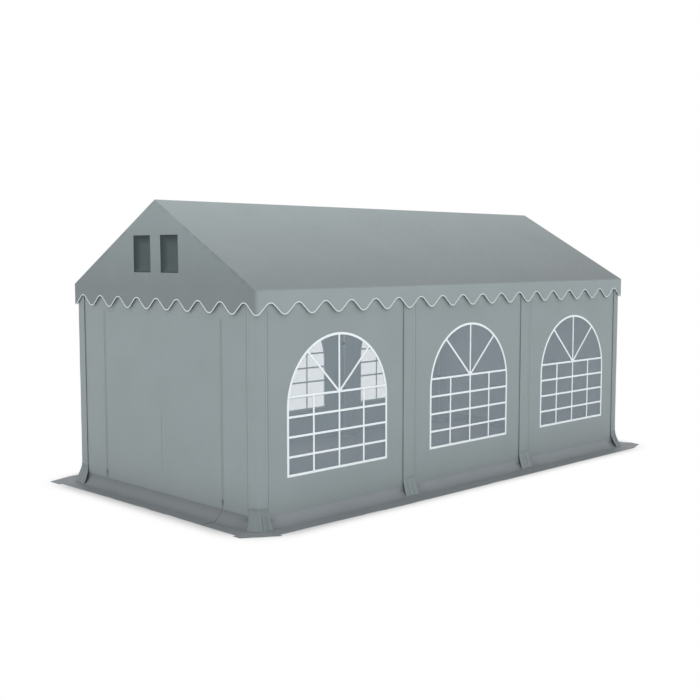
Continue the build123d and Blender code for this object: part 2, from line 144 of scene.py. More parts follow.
def drift(across: np.ndarray, up: np.ndarray, wide: float, tall: float, seed: float) -> np.ndarray:
    """Smooth noise for swells and wrinkles in a sheet.

    Args:
        across, up: places in the sheet, in metres.
        wide, tall: size of one swell, in metres.
        seed: picks another pattern.

    Returns:
        Values between about -1 and 1, in the shape of the places.
    """
    across, up = np.broadcast_arrays(across, up)
    places = zip(across.flat, up.flat)
    flat = [noise.noise(Vector((a / wide + seed, b / tall - seed, seed))) for a, b in places]
    return np.array(flat).reshape(across.shape)


def stretch(low: float, high: float, step: float) -> np.ndarray:
    """Evenly spaced values from low to high, about a step apart."""
    return np.linspace(low, high, max(2, round((high - low) / step) + 1))


def dense(corners: Sequence[Sequence[float]], step: float) -> np.ndarray:
    """Add points to a closed outline.

    Args:
        corners: its corners.
        step: how far apart neighbouring points may lie.

    Returns:
        All its points.
    """
    points = np.asarray(corners, float)
    runs = []
    for start, end in zip(points, np.roll(points, -1, axis=0)):
        count = max(1, math.ceil(np.linalg.norm(end - start) / step))
        runs.append(start + (end - start) * np.arange(count)[:, None] / count)
    return np.concatenate(runs)


def inside(points: np.ndarray, loop: np.ndarray) -> np.ndarray:
    """Tell which flat points lie within a closed outline.

    Args:
        points: flat points, one row each.
        loop: outline.

    Returns:
        True or False for each point.
    """
    x, y = points[:, :1], points[:, 1:]
    start, end = loop, np.roll(loop, -1, axis=0)
    crosses = (start[:, 1] > y) != (end[:, 1] > y)
    level = end[:, 1] == start[:, 1]
    rise = np.where(level, 1.0, end[:, 1] - start[:, 1])
    at = start[:, 0] + (y - start[:, 1]) / rise * (end[:, 0] - start[:, 0])
    return (crosses & (x < at)).sum(axis=1) % 2 == 1


def near(points: np.ndarray, line: np.ndarray) -> np.ndarray:
    """Measure how near flat points lie to a line.

    Args:
        points: flat points, one row each.
        line: points of the line, in order.

    Returns:
        Distance of each point.
    """
    start, run = line[:-1], np.diff(line, axis=0)
    share = np.sum((points[:, None] - start) * run, axis=2) / np.sum(run * run, axis=1)
    foot = start + np.clip(share, 0, 1)[..., None] * run
    return np.min(np.linalg.norm(points[:, None] - foot, axis=2), axis=1)


def clip(loop: np.ndarray, point: Sequence[float], keep: Sequence[float]) -> np.ndarray:
    """Cut a convex outline along a line.

    Args:
        loop: outline.
        point: any place on the line.
        keep: direction, square to the line, of the side that stays.

    Returns:
        Outline of that part.
    """
    side = (loop - np.asarray(point)) @ np.asarray(keep)
    kept = []
    for i in range(len(loop)):
        j = (i + 1) % len(loop)
        if side[i] >= 0:
            kept.append(loop[i])
        if (side[i] >= 0) != (side[j] >= 0):
            share = side[i] / (side[i] - side[j])
            kept.append(loop[i] + (loop[j] - loop[i]) * share)
    return np.array(kept)


def fill(outline: np.ndarray, holes: Sequence[np.ndarray], step: float,
         creases: Sequence[np.ndarray] = ()) -> tuple[np.ndarray, Triangles]:
    """Cover a flat outline with triangles.

    Args:
        outline: outer edge, densely pointed.
        holes: edges of the openings, densely pointed.
        step: spacing of the points inside, zero for none.
        creases: open lines of points that the triangles follow.

    Returns:
        Flat points, and the triangles as point numbers.
    """
    loops = [outline, *holes]
    points, edges = [], []
    for loop in loops:
        first = len(points)
        points += [Vector(p) for p in loop]
        edges += [(first + i, first + (i + 1) % len(loop)) for i in range(len(loop))]
    for line in creases:
        first = len(points)
        points += [Vector(p) for p in line]
        edges += [(first + i, first + i + 1) for i in range(len(line) - 1)]

    def on_cloth(places: np.ndarray) -> np.ndarray:
        """True for each place within the outline and outside the holes."""
        return inside(places, outline) & ~np.any([inside(places, hole) for hole in holes], axis=0)

    if step:
        low, high = outline.min(axis=0), outline.max(axis=0)
        columns, rows = stretch(low[0], high[0], step), stretch(low[1], high[1], step)
        mesh = np.stack(np.meshgrid(columns[1:-1], rows[1:-1]), axis=-1).reshape(-1, 2)
        mesh = mesh[on_cloth(mesh)]
        for line in [*(np.concatenate([loop, loop[:1]]) for loop in loops), *creases]:
            mesh = mesh[near(mesh, line) > EDGE_SHARE * step]
        points += [Vector(p) for p in mesh]
    found, _, triangles, *_ = delaunay_2d_cdt(points, edges, [], 0, SLIVER, False)
    flat = np.array([tuple(p) for p in found])
    kept = on_cloth(flat[np.array(triangles)].mean(axis=1))
    return flat, [tuple(t) for t, keep in zip(triangles, kept) if keep]


class Facing(Enum):
    """Which way a wall faces: its outward direction, then the direction along it."""

    RIGHT = ((1, 0), (0, 1))
    LEFT = ((-1, 0), (0, 1))
    FRONT = ((0, -1), (1, 0))
    REAR = ((0, 1), (1, 0))

    @property
    def is_end(self) -> bool:
        """Whether the wall is at the front or the rear."""
        return self in (Facing.FRONT, Facing.REAR)

    def place(self, along: np.ndarray, out: np.ndarray, height: np.ndarray) -> np.ndarray:
        """Put places of a wall into the tent's frame.

        Args:
            along: distance along the wall from the middle of the tent.
            out: distance outward from the middle of the tent.
            height: distance above the ground.

        Returns:
            Points, with X, Y and Z on the last axis.
        """
        along, out, height = np.broadcast_arrays(along, out, height)
        outward, run = np.array(self.value[0], float), np.array(self.value[1], float)
        flat = out[..., None] * outward + along[..., None] * run
        return np.concatenate([flat, height[..., None]], axis=-1)


SIDE_FACING = {"left": Facing.LEFT, "right": Facing.RIGHT}
END_FACING = {"front": Facing.FRONT, "rear": Facing.REAR}


@dataclass
class Sheet:
    """One piece of cloth or film, gathered patch by patch and welded where the patches meet."""

    name: str
    thickness: float
    fold: float = 0.0  # how far its sharp folds are rounded
    fold_steps: int = 3
    fold_angle: float = 20.0  # blunter folds stay as they are, degrees
    points: list[np.ndarray] = field(default_factory=list)
    faces: Triangles = field(default_factory=list)
    cloth: list[np.ndarray] = field(default_factory=list)
    tones: list[np.ndarray] = field(default_factory=list)
    finishes: list[int] = field(default_factory=list)
    count: int = 0

    def patch(self, points: np.ndarray, faces: Sequence[tuple[int, ...]], cloth: np.ndarray,
              tone: np.ndarray | float = 1.0, finish: int = 0) -> None:
        """Add a patch of faces.

        Args:
            points: places, one row each.
            faces: point numbers of each face.
            cloth: where each point lies in the flat cloth, in metres.
            tone: how light the colour is at each point, 1 as written; most pieces use it for painted light and
                shade.
            finish: number of the material.
        """
        self.faces += [tuple(self.count + i for i in face) for face in faces]
        self.points.append(points)
        self.cloth.append(cloth)
        self.tones.append(np.broadcast_to(tone, (len(points),)))
        self.finishes += [finish] * len(faces)
        self.count += len(points)

    def grid(self, points: np.ndarray, cloth: np.ndarray, tone: np.ndarray | float = 1.0,
             around: bool = False) -> None:
        """Add a patch of rows and columns.

        Args:
            points: places, by row and column.
            cloth: where each point lies in the flat cloth, in metres.
            tone: how light the colour is at each point, 1 as written; most pieces use it for painted light and
                shade.
            around: whether each row's last point is joined to its first.
        """
        rows, columns = points.shape[:2]
        last = columns if around else columns - 1
        faces = []
        for r in range(rows - 1):
            for c in range(last):
                d = (c + 1) % columns
                here, below = r * columns, (r + 1) * columns
                faces.append((here + c, here + d, below + d, below + c))
        flat_tone = np.broadcast_to(tone, points.shape[:2]).reshape(-1)
        self.patch(points.reshape(-1, 3), faces, cloth.reshape(-1, 2), flat_tone)

    def build(self) -> bpy.types.Object:
        """Make the mesh, weld it, and give it its thickness.

        Returns:
            The piece.
        """
        mesh = bpy.data.meshes.new(self.name)
        mesh.from_pydata(np.concatenate(self.points).tolist(), [], self.faces)
        corners = np.zeros(len(mesh.loops), np.int32)
        mesh.loops.foreach_get("vertex_index", corners)
        laid = np.concatenate(self.cloth)[corners]
        mesh.uv_layers.new(name=CLOTH_MAP).data.foreach_set("uv", laid.ravel())
        mesh.attributes.new(TONE, "FLOAT", "POINT").data.foreach_set("value", np.concatenate(self.tones))
        mesh.polygons.foreach_set("material_index", self.finishes)
        shape = bmesh.new()
        shape.from_mesh(mesh)
        bmesh.ops.remove_doubles(shape, verts=shape.verts, dist=WELD)
        bmesh.ops.dissolve_degenerate(shape, edges=shape.edges, dist=SLIVER)
        bmesh.ops.recalc_face_normals(shape, faces=shape.faces)
        shape.to_mesh(mesh)
        shape.free()
        mesh.shade_smooth()
        piece = bpy.data.objects.new(self.name, mesh)
        bpy.context.scene.collection.objects.link(piece)
        if self.fold:
            round_off = piece.modifiers.new("folds", "BEVEL")
            round_off.width = self.fold
            round_off.segments = self.fold_steps
            round_off.limit_method = "ANGLE"
            round_off.angle_limit = math.radians(self.fold_angle)
        if self.thickness:
            body = piece.modifiers.new("thickness", "SOLIDIFY")
            body.thickness = self.thickness
            body.offset = 0.0
        piece.modifiers.new("shading", "WEIGHTED_NORMAL")
        return piece


def dress(sheet: Sheet, materials: Sequence[bpy.types.Material], nodes: Sequence[str],
          body: str = BODY) -> bpy.types.Object:
    """Build a sheet and give it its finish and its place in the tent.

    Args:
        sheet: the gathered sheet.
        materials: its finishes, the main one first.
        nodes: plain solids that the piece stands for.
        body: what it moves with.

    Returns:
        The piece.
    """
    piece = sheet.build()
    for material in materials:
        piece.data.materials.append(material)
    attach(piece, body)
    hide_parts(*nodes)
    LOG.info("%s: %d faces, rides on %s", piece.name, len(piece.data.polygons), body)
    return piece


# Sizes of the frame

@dataclass(frozen=True)
class TentSizes:
    """Places that the cloth is fitted to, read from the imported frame."""

    half_w: float
    half_l: float
    ridge: float
    eave: float
    cloth_t: float
    wall_x: float
    wall_y: float
    wall_low: float
    wall_top: float
    leg_x: float
    leg_rows: tuple[float, ...]
    hem_low: float

    @classmethod
    def read(cls) -> "TentSizes":
        """Read the sizes from the nodes' boxes; cloth places are the middle of the cloth.

        Returns:
            The sizes.
        """
        roof, gable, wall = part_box("roof_panel_right"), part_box("gable_front"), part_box("side_panel_right_1")
        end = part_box("end_wall_front")
        legs = [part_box(f"leg_right_{i}") for i in range(1, 5)]
        thick = wall[1].x - wall[0].x
        slope = math.atan2(roof[1].z - roof[0].z, roof[1].x)
        return cls(
            half_w=roof[1].x - thick / 2,
            half_l=-gable[0].y - thick / 2,
            ridge=roof[1].z - thick / 2 / math.cos(slope),
            eave=roof[0].z + thick / 2 / math.cos(slope),
            cloth_t=thick,
            wall_x=(wall[0].x + wall[1].x) / 2,
            wall_y=-(end[0].y + end[1].y) / 2,
            wall_low=wall[0].z,
            wall_top=wall[1].z,
            leg_x=(legs[0][0].x + legs[0][1].x) / 2,
            leg_rows=tuple((low.y + high.y) / 2 for low, high in legs),
            hem_low=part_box("hem_piping")[0].z,
        )


# Finishes

def bands(tree: Tree, pitch: float, ways: str) -> list[Socket]:
    """Bands across the flat cloth, as threads, ribs and stitches lie.

    Args:
        tree: node tree of the material.
        pitch: distance from one band to the next.
        ways: directions that the bands follow each other in, X along the cloth and Y across it.

    Returns:
        One pattern for each direction.
    """
    cloth = add(tree, "UVMap", uv_map=CLOTH_MAP)
    inputs = {"Vector": cloth, "Scale": 2 * math.pi / (WAVE_NODE_RATE * pitch)}
    return [add(tree, "TexWave", inputs, "Fac", bands_direction=way) for way in ways]


def mottle(tree: Tree, size: float, detail: float, *spreads: Pair) -> list[Socket]:
    """Noise all over a piece, as uneven dye, dents and grains lie, with values that follow it.

    Args:
        tree: node tree of the material.
        size: size of one patch.
        detail: how many finer patterns are laid over it.
        spreads: the middle of each value, and how far it goes above and below.

    Returns:
        The noise, then the values.
    """
    place = add(tree, "TexCoord", out="Object")
    pattern = add(tree, "TexNoise", {"Vector": place, "Scale": 1 / size, "Detail": detail}, "Fac")
    low, high = NOISE_SPAN
    return [pattern, *(add(tree, "MapRange", {"Value": pattern, FROM_LOW: low, FROM_HIGH: high,
                                              TO_LOW: middle - spread, TO_HIGH: middle + spread})
                       for middle, spread in spreads)]


@dataclass(frozen=True)
class Finish:
    """A material of the tent, named for the real one."""

    name: str
    color: str

    def surface(self, tree: Tree) -> dict[str, object]:
        """Values and sockets that the shader gets, by its own socket names.

        Args:
            tree: node tree of the material.

        Returns:
            What the shader gets, by socket name.
        """
        raise NotImplementedError

    def material(self) -> bpy.types.Material:
        """Make the material.

        Returns:
            The material.
        """
        material = bpy.data.materials.new(self.name)
        material.use_nodes = True
        tree = material.node_tree
        feed(tree.nodes["Principled BSDF"], self.surface(tree))
        return material


@dataclass(frozen=True)
class CoatedCloth(Finish):
    """Polyester scrim coated with soft PVC on both sides, as on marquee covers.

    The coating gives a smooth, slightly waxy surface with a broad soft highlight; the scrim's threads
    show through as a faint grid. Dust gathers near the ground.
    """

    dust: str = "#83857f"
    thread: float = 4 * MM  # threads are about 1 mm apart, drawn coarser so that they show
    cloud: float = 420 * MM  # size of the faint uneven patches of the dye
    cloudy: float = 0.025  # how much lighter or darker the patches are
    crumple: float = 55 * MM  # size of the small dents left by folding
    dust_height: float = 0.42
    dust_share: float = 0.16
    roughness: float = 0.52
    worn: float = 0.03  # how much rougher or smoother the dents are

    def surface(self, tree: Tree) -> dict[str, object]:
        """Uneven dye scaled by the tone's painted light and shade, with dust low down, over dents and a faint
        grid of threads.

        Args:
            tree: node tree of the material.

        Returns:
            What the shader gets, by socket name.
        """
        # the tone holds painted light and shade; the noise below is uneven dye
        tone = add(tree, "Attribute", out="Fac", attribute_name=TONE)
        clouds, uneven = mottle(tree, self.cloud, 3.0, (1.0, self.cloudy))
        level = add(tree, "Math", {0: tone, 1: uneven}, operation="MULTIPLY")
        dye_and_painted_light = add(tree, "VectorMath", {0: linear(self.color)[:3], "Scale": level}, operation="SCALE")
        height = add(tree, "SeparateXYZ", {0: add(tree, "TexCoord", out="Object")}, "Z")
        low_down = add(tree, "MapRange", {"Value": height, FROM_HIGH: self.dust_height,
                                          TO_LOW: self.dust_share, TO_HIGH: 0.0})
        dusty = add(tree, "Math", {0: low_down, 1: clouds}, operation="MULTIPLY")
        color = add(tree, "Mix", {"Factor": dusty, "A": dye_and_painted_light, "B": linear(self.dust)}, "Result",
                    data_type="RGBA")
        along, across = bands(tree, self.thread, "XY")
        scrim = add(tree, "Math", {0: along, 1: across}, operation="MAXIMUM")
        dents, rough = mottle(tree, self.crumple, 2.0, (self.roughness, self.worn))
        crumpled = add(tree, "Bump", {"Strength": 0.03, "Distance": 1.2 * MM, "Height": dents})
        woven = add(tree, "Bump", {"Strength": 0.05, "Distance": 0.25 * MM, "Height": scrim,
                                   "Normal": crumpled})
        return {"Base Color": color, "Normal": woven, "Roughness": rough, "IOR": 1.5,
                "Specular IOR Level": 0.3, "Sheen Weight": 0.06}


@dataclass(frozen=True)
class BindingTape(Finish):
    """Woven polyester tape, folded over the hem and sewn: off-white, matt, with a line of stitches."""

    name: str = "polyester binding tape"
    color: str = "#e4edee"
    stitch_color: str = "#c6cfd0"
    stitch: float = 8 * MM  # stitches are about 4 mm long, drawn coarser so that they show
    stitch_from: float = 0.80  # share of a stitch's length where its dark gap starts
    rib: float = 2.5 * MM

    def surface(self, tree: Tree) -> dict[str, object]:
        """Pale tape with darker stitches, and ribs along it.

        Args:
            tree: node tree of the material.

        Returns:
            What the shader gets, by socket name.
        """
        stitches = bands(tree, self.stitch, "X")[0]
        ribs = bands(tree, self.rib, "Y")[0]
        sewn = add(tree, "MapRange", {"Value": stitches, FROM_LOW: self.stitch_from})
        color = add(tree, "Mix", {"Factor": sewn, "A": linear(self.color), "B": linear(self.stitch_color)},
                    "Result", data_type="RGBA")
        relief = add(tree, "Bump", {"Strength": 0.25, "Distance": 0.3 * MM, "Height": ribs})
        return {"Base Color": color, "Normal": relief, "Roughness": 0.6, "Sheen Weight": 0.1}


@dataclass(frozen=True)
class VentNet(Finish):
    """Knitted polyester insect net: dark threads, darker holes, and painted shade that darkens it towards the
    rim.
    """

    name: str = "polyester insect net"
    color: str = "#566161"  # of the threads
    hole_color: str = "#39434a"
    pitch: float = 6 * MM  # holes are about 1.5 mm apart, drawn coarser so that they show

    def surface(self, tree: Tree) -> dict[str, object]:
        """Threads standing out from the holes, all of it darker at the rim by painted shade.

        Args:
            tree: node tree of the material.

        Returns:
            What the shader gets, by socket name.
        """
        along, across = bands(tree, self.pitch, "XY")
        knit = add(tree, "Math", {0: along, 1: across}, operation="MAXIMUM")
        knitted = add(tree, "Mix", {"Factor": knit, "A": linear(self.hole_color), "B": linear(self.color)},
                      "Result", data_type="RGBA")
        # painted shade from the vent's edges, held in the tone
        net_painted_shade = add(tree, "Attribute", out="Fac", attribute_name=TONE)
        color = add(tree, "VectorMath", {0: knitted, "Scale": net_painted_shade}, operation="SCALE")
        relief = add(tree, "Bump", {"Strength": 0.5, "Distance": 0.6 * MM, "Height": knit})
        return {"Base Color": color, "Normal": relief, "Roughness": 0.8, "Specular IOR Level": 0.2}


@dataclass(frozen=True)
class WindowFilm(Finish):
    """Calendered clear PVC film: glossy, faintly blue and hazy, with slow waves in its surface."""

    name: str = "clear pvc film"
    color: str = "#dceef9"
    haze: float = 0.17  # of each of its two faces
    wave: float = 90 * MM
    roughness: float = 0.12
    scuffed: float = 0.04  # how much rougher or smoother its waves are

    def surface(self, tree: Tree) -> dict[str, object]:
        """Thin haze with a wavy gloss.

        Args:
            tree: node tree of the material.

        Returns:
            What the shader gets, by socket name.
        """
        waves, rough = mottle(tree, self.wave, 1.0, (self.roughness, self.scuffed))
        relief = add(tree, "Bump", {"Strength": 0.10, "Distance": 1.0 * MM, "Height": waves})
        return {"Base Color": linear(self.color), "Normal": relief, "Roughness": rough,
                "Alpha": self.haze, "IOR": 1.53}


@dataclass(frozen=True)
class SpeckledSolid(Finish):
    """A plain solid finish with a fine uneven surface: moulded plastic, paint or welded strip."""

    roughness: float
    grain: float  # size of the unevenness
    relief: float  # height of the unevenness
    variation: float = 0.04  # how much lighter or darker the grains are
    worn: float = 0.05  # how much rougher or smoother they are

    def surface(self, tree: Tree) -> dict[str, object]:
        """One colour, broken up a little by its grain.

        Args:
            tree: node tree of the material.

        Returns:
            What the shader gets, by socket name.
        """
        spreads = (1.0, self.variation), (self.roughness, self.worn)
        grains, level, rough = mottle(tree, self.grain, 3.0, *spreads)
        color = add(tree, "VectorMath", {0: linear(self.color)[:3], "Scale": level}, operation="SCALE")
        bumps = add(tree, "Bump", {"Strength": 0.4, "Distance": self.relief, "Height": grains})
        return {"Base Color": color, "Normal": bumps, "Roughness": rough}


@dataclass(frozen=True)
class GalvanisedSteel(Finish):
    """Hot-dip galvanised steel tube: grey zinc with crystal spangles of slightly different shine."""

    name: str = "galvanised steel"
    color: str = "#b4babc"
    spangle: float = 14 * MM
    levels: Pair = (0.86, 1.06)  # of the darkest and the lightest crystals
    polish: Pair = (0.34, 0.50)  # and their roughness

    def surface(self, tree: Tree) -> dict[str, object]:
        """Bare zinc, each crystal with its own shade and shine.

        Args:
            tree: node tree of the material.

        Returns:
            What the shader gets, by socket name.
        """
        place = add(tree, "TexCoord", out="Object")
        crystals = add(tree, "TexVoronoi", {"Vector": place, "Scale": 1 / self.spangle}, "Color")
        shade = add(tree, "SeparateXYZ", {0: crystals}, "X")
        level, rough = [add(tree, "MapRange", {"Value": shade, TO_LOW: low, TO_HIGH: high})
                        for low, high in (self.levels, self.polish)]
        color = add(tree, "VectorMath", {0: linear(self.color)[:3], "Scale": level}, operation="SCALE")
        return {"Base Color": color, "Roughness": rough, "Metallic": 1.0}


@dataclass(frozen=True)
class RibbedWebbing(Finish):
    """Flat woven polyester webbing or zip tape: matt, with fine ribs across its length."""

    rib: float = 3 * MM  # ribs are about 1.2 mm apart, drawn coarser so that they show
    levels: Pair = (0.75, 1.1)  # between the ribs and on them

    def surface(self, tree: Tree) -> dict[str, object]:
        """Ribs that stand out, darker between them.

        Args:
            tree: node tree of the material.

        Returns:
            What the shader gets, by socket name.
        """
        ribs = bands(tree, self.rib, "X")[0]
        level = add(tree, "MapRange", {"Value": ribs, TO_LOW: self.levels[0], TO_HIGH: self.levels[1]})
        color = add(tree, "VectorMath", {0: linear(self.color)[:3], "Scale": level}, operation="SCALE")
        relief = add(tree, "Bump", {"Strength": 0.5, "Distance": 0.4 * MM, "Height": ribs})
        return {"Base Color": color, "Normal": relief, "Roughness": 0.75, "Specular IOR Level": 0.25}


class Finishes:
    """All materials of the tent, made once."""

    def __init__(self) -> None:
        """Make the materials."""
        self.cover = CoatedCloth("pvc-coated cover cloth", "#97a2a4").material()
        self.wall = CoatedCloth("pvc-coated wall cloth", "#949ea0").material()
        self.boot = CoatedCloth("pvc-coated boot cloth", "#828c8e", dust_share=0.12).material()
        self.skirt = CoatedCloth("pvc-coated skirt cloth", "#797f83", dust_share=0.1).material()
        self.binding = BindingTape().material()
        self.net = VentNet().material()
        self.film = WindowFilm().material()
        self.bar = SpeckledSolid("welded white pvc strip", "#f4fbff", 0.42, 6 * MM, 0.1 * MM,
                                 variation=0.02).material()
        self.tube = GalvanisedSteel().material()
        self.socket = SpeckledSolid("powder-coated weldment", "#a7adaf", 0.5, 2.5 * MM, 0.15 * MM).material()
        self.knob = SpeckledSolid("glass-filled nylon", "#2a2c2d", 0.55, 1.5 * MM, 0.1 * MM).material()
        self.webbing = RibbedWebbing("polyester webbing", "#3b4044").material()
        self.zip_tape = RibbedWebbing("polyester zip tape", "#99a2a3").material()
        # the teeth are lighter than the tape: painted light that evens out the shade between them
        self.teeth = SpeckledSolid("moulded acetal teeth", "#a3abac", 0.4, 2 * MM, 0.05 * MM).material()
        self.zip_metal = SpeckledSolid("enamelled die-cast zinc", "#949b9d", 0.45, 3 * MM,
                                       0.05 * MM).material()


# Roof

@dataclass
class RoofCover:
    """The cover: two slopes, two gables with vents, and a valance with a scalloped, bound hem."""

    sizes: TentSizes
    finishes: Finishes
    wave_depth: float = 0.104
    wave_flank: float = 42.0  # steepness of the hem's straight stretches, degrees
    waves_across: int = 9
    waves_along: int = 18
    points_per_wave: int = 24
    slope_rows: int = 28  # rows of mesh down a slope
    fold_strip: float = 0.012  # the last row above the eave, which its fold takes up
    valance_rows: int = 9
    valance_strip: float = 0.05  # share of the valance that the eave's fold takes up
    corner_strip: float = 0.03  # stretch of valance that the fold at a corner takes up
    tape_width: float = 0.0100
    tape_t: float = 0.0045
    tape_corner: float = 0.0015  # how much of the tape's corners is rounded off
    sag: float = 0.010  # how far the slopes hang between the rafters
    sag_power: float = 1.5  # above 1, the sag starts gently at each rafter
    flutter: float = 0.006  # how far the hem swings in and out
    flutter_length: float = 0.45
    flutter_power: float = 1.3  # above 1, the valance swings less near the eave
    flutter_free: Ramp = (0.0, 0.4)  # distances from a corner
    swell: float = 0.004  # how far the gables stand in or out of their plane
    swell_size: float = 0.5
    swell_under: Ramp = (0.0, 0.25)  # distances below the slopes
    swell_over: Ramp = (0.0, 0.2)  # distances above the eave
    vent_width: float = 0.285
    vent_seam: float = 0.020  # how far the screens reach past their openings
    vent_belly: float = 0.030  # how far the screens hang inward
    vent_rim: Ramp = (0.012, 0.10)  # distances from the edge in which they do
    net_t: float = 0.0008
    net_behind: float = 0.0006  # from the front of the screens' solids
    net_tones: Pair = (0.58, 1.14)  # shaded by the upper and left edges, and in the middle
    net_shade: Ramp = (0.02, 0.12)  # distances from those edges
    net_rim: float = 2.5  # how much narrower the shade is at the other edges
    gable_step: float = 0.05  # spacing of the gables' mesh
    vent_step: float = 0.03  # and of the points on the vents' edges
    net_step: float = 0.02  # and of the screens' mesh
    fold: float = 0.010
    ridge_painted_light: float = 0.815  # painted light: the slopes are lighter towards the ridge and darker towards the eave
    # painted shade of the slopes at the eave, shared with the side valances' fold
    eave_painted_shade: float = 0.52
    painted_light_power: float = 0.93  # below 1, the painted light fades quicker near the ridge
    rear_painted_shade: float = 0.05  # painted shade: how much darker the slopes are at the rear than in the middle
    # painted shade at the gable's foot, which the front and rear valances share
    gable_painted_shade: float = 0.665
    peak_painted_light: float = 0.94  # painted light of the gable, under the ridge
    side_painted_light: float = 1.012  # painted light of the side valances, which face the light

    def __post_init__(self) -> None:
        """Read the vents' places from the frame, and share out the rows of a slope."""
        self.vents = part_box("vent_meshes")
        self.slope_length = math.hypot(self.sizes.half_w, self.sizes.ridge - self.sizes.eave)
        rows = np.linspace(0, 1, self.slope_rows + 1)
        self.down = np.append(rows[:-1], [1 - self.fold_strip / self.slope_length, 1.0])

    def hem(self, along: np.ndarray, half: float, waves: int) -> np.ndarray:
        """Draw the hem: arcs at the drops and rises, straight between them.

        Args:
            along: places along it.
            half: half its length.
            waves: number of scallops.

        Returns:
            Height of its lowest line at each place.
        """
        pitch = 2 * half / waves
        flank = math.radians(self.wave_flank)
        tip = (pitch / 2 * math.tan(flank) - self.wave_depth) / (2 * (1 / math.cos(flank) - 1))
        reach = tip * math.sin(flank)
        d = np.abs((along + half + pitch / 2) % pitch - pitch / 2)
        drop = tip - np.sqrt(np.maximum(tip ** 2 - np.minimum(d, reach) ** 2, 0))
        far = np.minimum(pitch / 2 - d, reach)
        rise = self.wave_depth - (tip - np.sqrt(np.maximum(tip ** 2 - far ** 2, 0)))
        straight = tip * (1 - math.cos(flank)) + (d - reach) * math.tan(flank)
        shape = np.where(d < reach, drop, np.where(d > pitch / 2 - reach, rise, straight))
        return self.sizes.hem_low + shape

    def swing(self, along: np.ndarray, half: float, seed: float) -> np.ndarray:
        """How far the hem stands out from the valance's plane, nothing at the corners."""
        free = smooth(half - np.abs(along), *self.flutter_free)
        return self.flutter * free * drift(along, along * 0, self.flutter_length, 1.0, seed)

    def slope(self, cover: Sheet, side: float, along: np.ndarray) -> None:
        """Add one roof slope, hanging a little between the rafters.

        Args:
            cover: sheet to add to.
            side: -1 for left, 1 for right.
            along: places along the ridge.
        """
        s = self.sizes
        down = self.down[:, None]
        bay = s.leg_rows[1] - s.leg_rows[0]
        hang = np.abs(np.sin(math.pi * (along - s.leg_rows[0]) / bay)) ** self.sag_power
        hang = hang * (np.abs(along) < s.leg_rows[-1])
        dip = self.sag * hang * np.sin(math.pi * down) ** 2
        run, rise = s.half_w / self.slope_length, (s.ridge - s.eave) / self.slope_length
        x = side * (s.half_w * down - rise * dip)
        z = s.ridge + (s.eave - s.ridge) * down - run * dip
        # painted light and shade: lighter at the ridge, darker at the eave and at the rear
        tone = self.ridge_painted_light + (self.eave_painted_shade - self.ridge_painted_light) * down ** self.painted_light_power
        tone = tone * (1 - self.rear_painted_shade * along / s.half_l)
        # the fold's row blends into the side valances' painted light
        tone[-1] = (tone[-2] + self.side_painted_light) / 2
        cover.grid(join(x, along, z), join(side * down * self.slope_length, along), tone)

    def valance(self, cover: Sheet, facing: Facing, along: np.ndarray, out: float, waves: int,
                tone: float, above: float, turned: float) -> None:
        """Add the hanging strip under one eave, cut to the scalloped hem.

        Args:
            cover: sheet to add to.
            facing: which way the strip faces.
            along: places along it.
            out: distance of its plane from the middle of the tent.
            waves: number of scallops.
            tone: its tone, which paints its light and shade.
            above: painted tone of the cloth above its fold.
            turned: painted tone of the strips round the corners.
        """
        half = along[-1]
        down = np.append(0.0, np.linspace(self.valance_strip, 1, self.valance_rows))[:, None]
        at_corner = smooth(half - np.abs(along), self.corner_strip, 0.0)
        # painted light and shade blend round the corners and into the fold at the eave
        shade = tone + (turned - tone) / 2 * at_corner + 0 * down
        shade[0] = (shade[1] + above) / 2
        edge = self.hem(along, half, waves) + self.tape_width / 2
        height = self.sizes.eave + (edge - self.sizes.eave) * down
        swung = out + self.swing(along, half, out) * down ** self.flutter_power
        cover.grid(facing.place(along, swung, height), join(along, height), shade)

    def gable(self, cover: Sheet, facing: Facing, across: np.ndarray) -> None:
        """Add one gable: the triangle between the eave line and the slopes, with two vent openings.

        Args:
            cover: sheet to add to.
            facing: which way the gable faces.
            across: places along the eave line.
        """
        s = self.sizes
        ridge_edge = join(s.half_w * self.down, s.ridge + (s.eave - s.ridge) * self.down)
        right = ridge_edge[::-1][1:]
        left = (ridge_edge * (-1, 1))[1:-1]
        outline = np.concatenate([join(across, s.eave), right, left])
        holes = [dense(self.vent(side, 0.0), self.vent_step) for side in SIDES.values()]
        flat, faces = fill(outline, holes, self.gable_step)
        x, z = flat.T
        below = (s.ridge - s.eave) * (1 - np.abs(x) / s.half_w) + s.eave - z
        free = smooth(below, *self.swell_under) * smooth(z - s.eave, *self.swell_over)
        swell = self.swell * free * drift(x, z, self.swell_size, self.swell_size, seed=3.0)
        # painted shade at the gable's foot, painted light under the ridge
        tone = self.gable_painted_shade + (self.peak_painted_light - self.gable_painted_shade) * (z - s.eave) / (s.ridge - s.eave)
        cover.patch(facing.place(x, s.half_l + swell, z), faces, flat, tone)

    def vent(self, side: float, grow: float) -> list[Pair]:
        """Outline one vent.

        Args:
            side: -1 for the left one, 1 for the right one.
            grow: how far the outline lies outside the opening.

        Returns:
            Its corners, from the lower left one on.
        """
        low, high = self.vents
        half = self.vent_width / 2 + grow
        middle = side * (high.x - self.vent_seam - self.vent_width / 2)
        bottom, top = low.z + self.vent_seam - grow, high.z - self.vent_seam + grow
        return [(middle - half, bottom), (middle + half, bottom), (middle + half, top), (middle - half, top)]

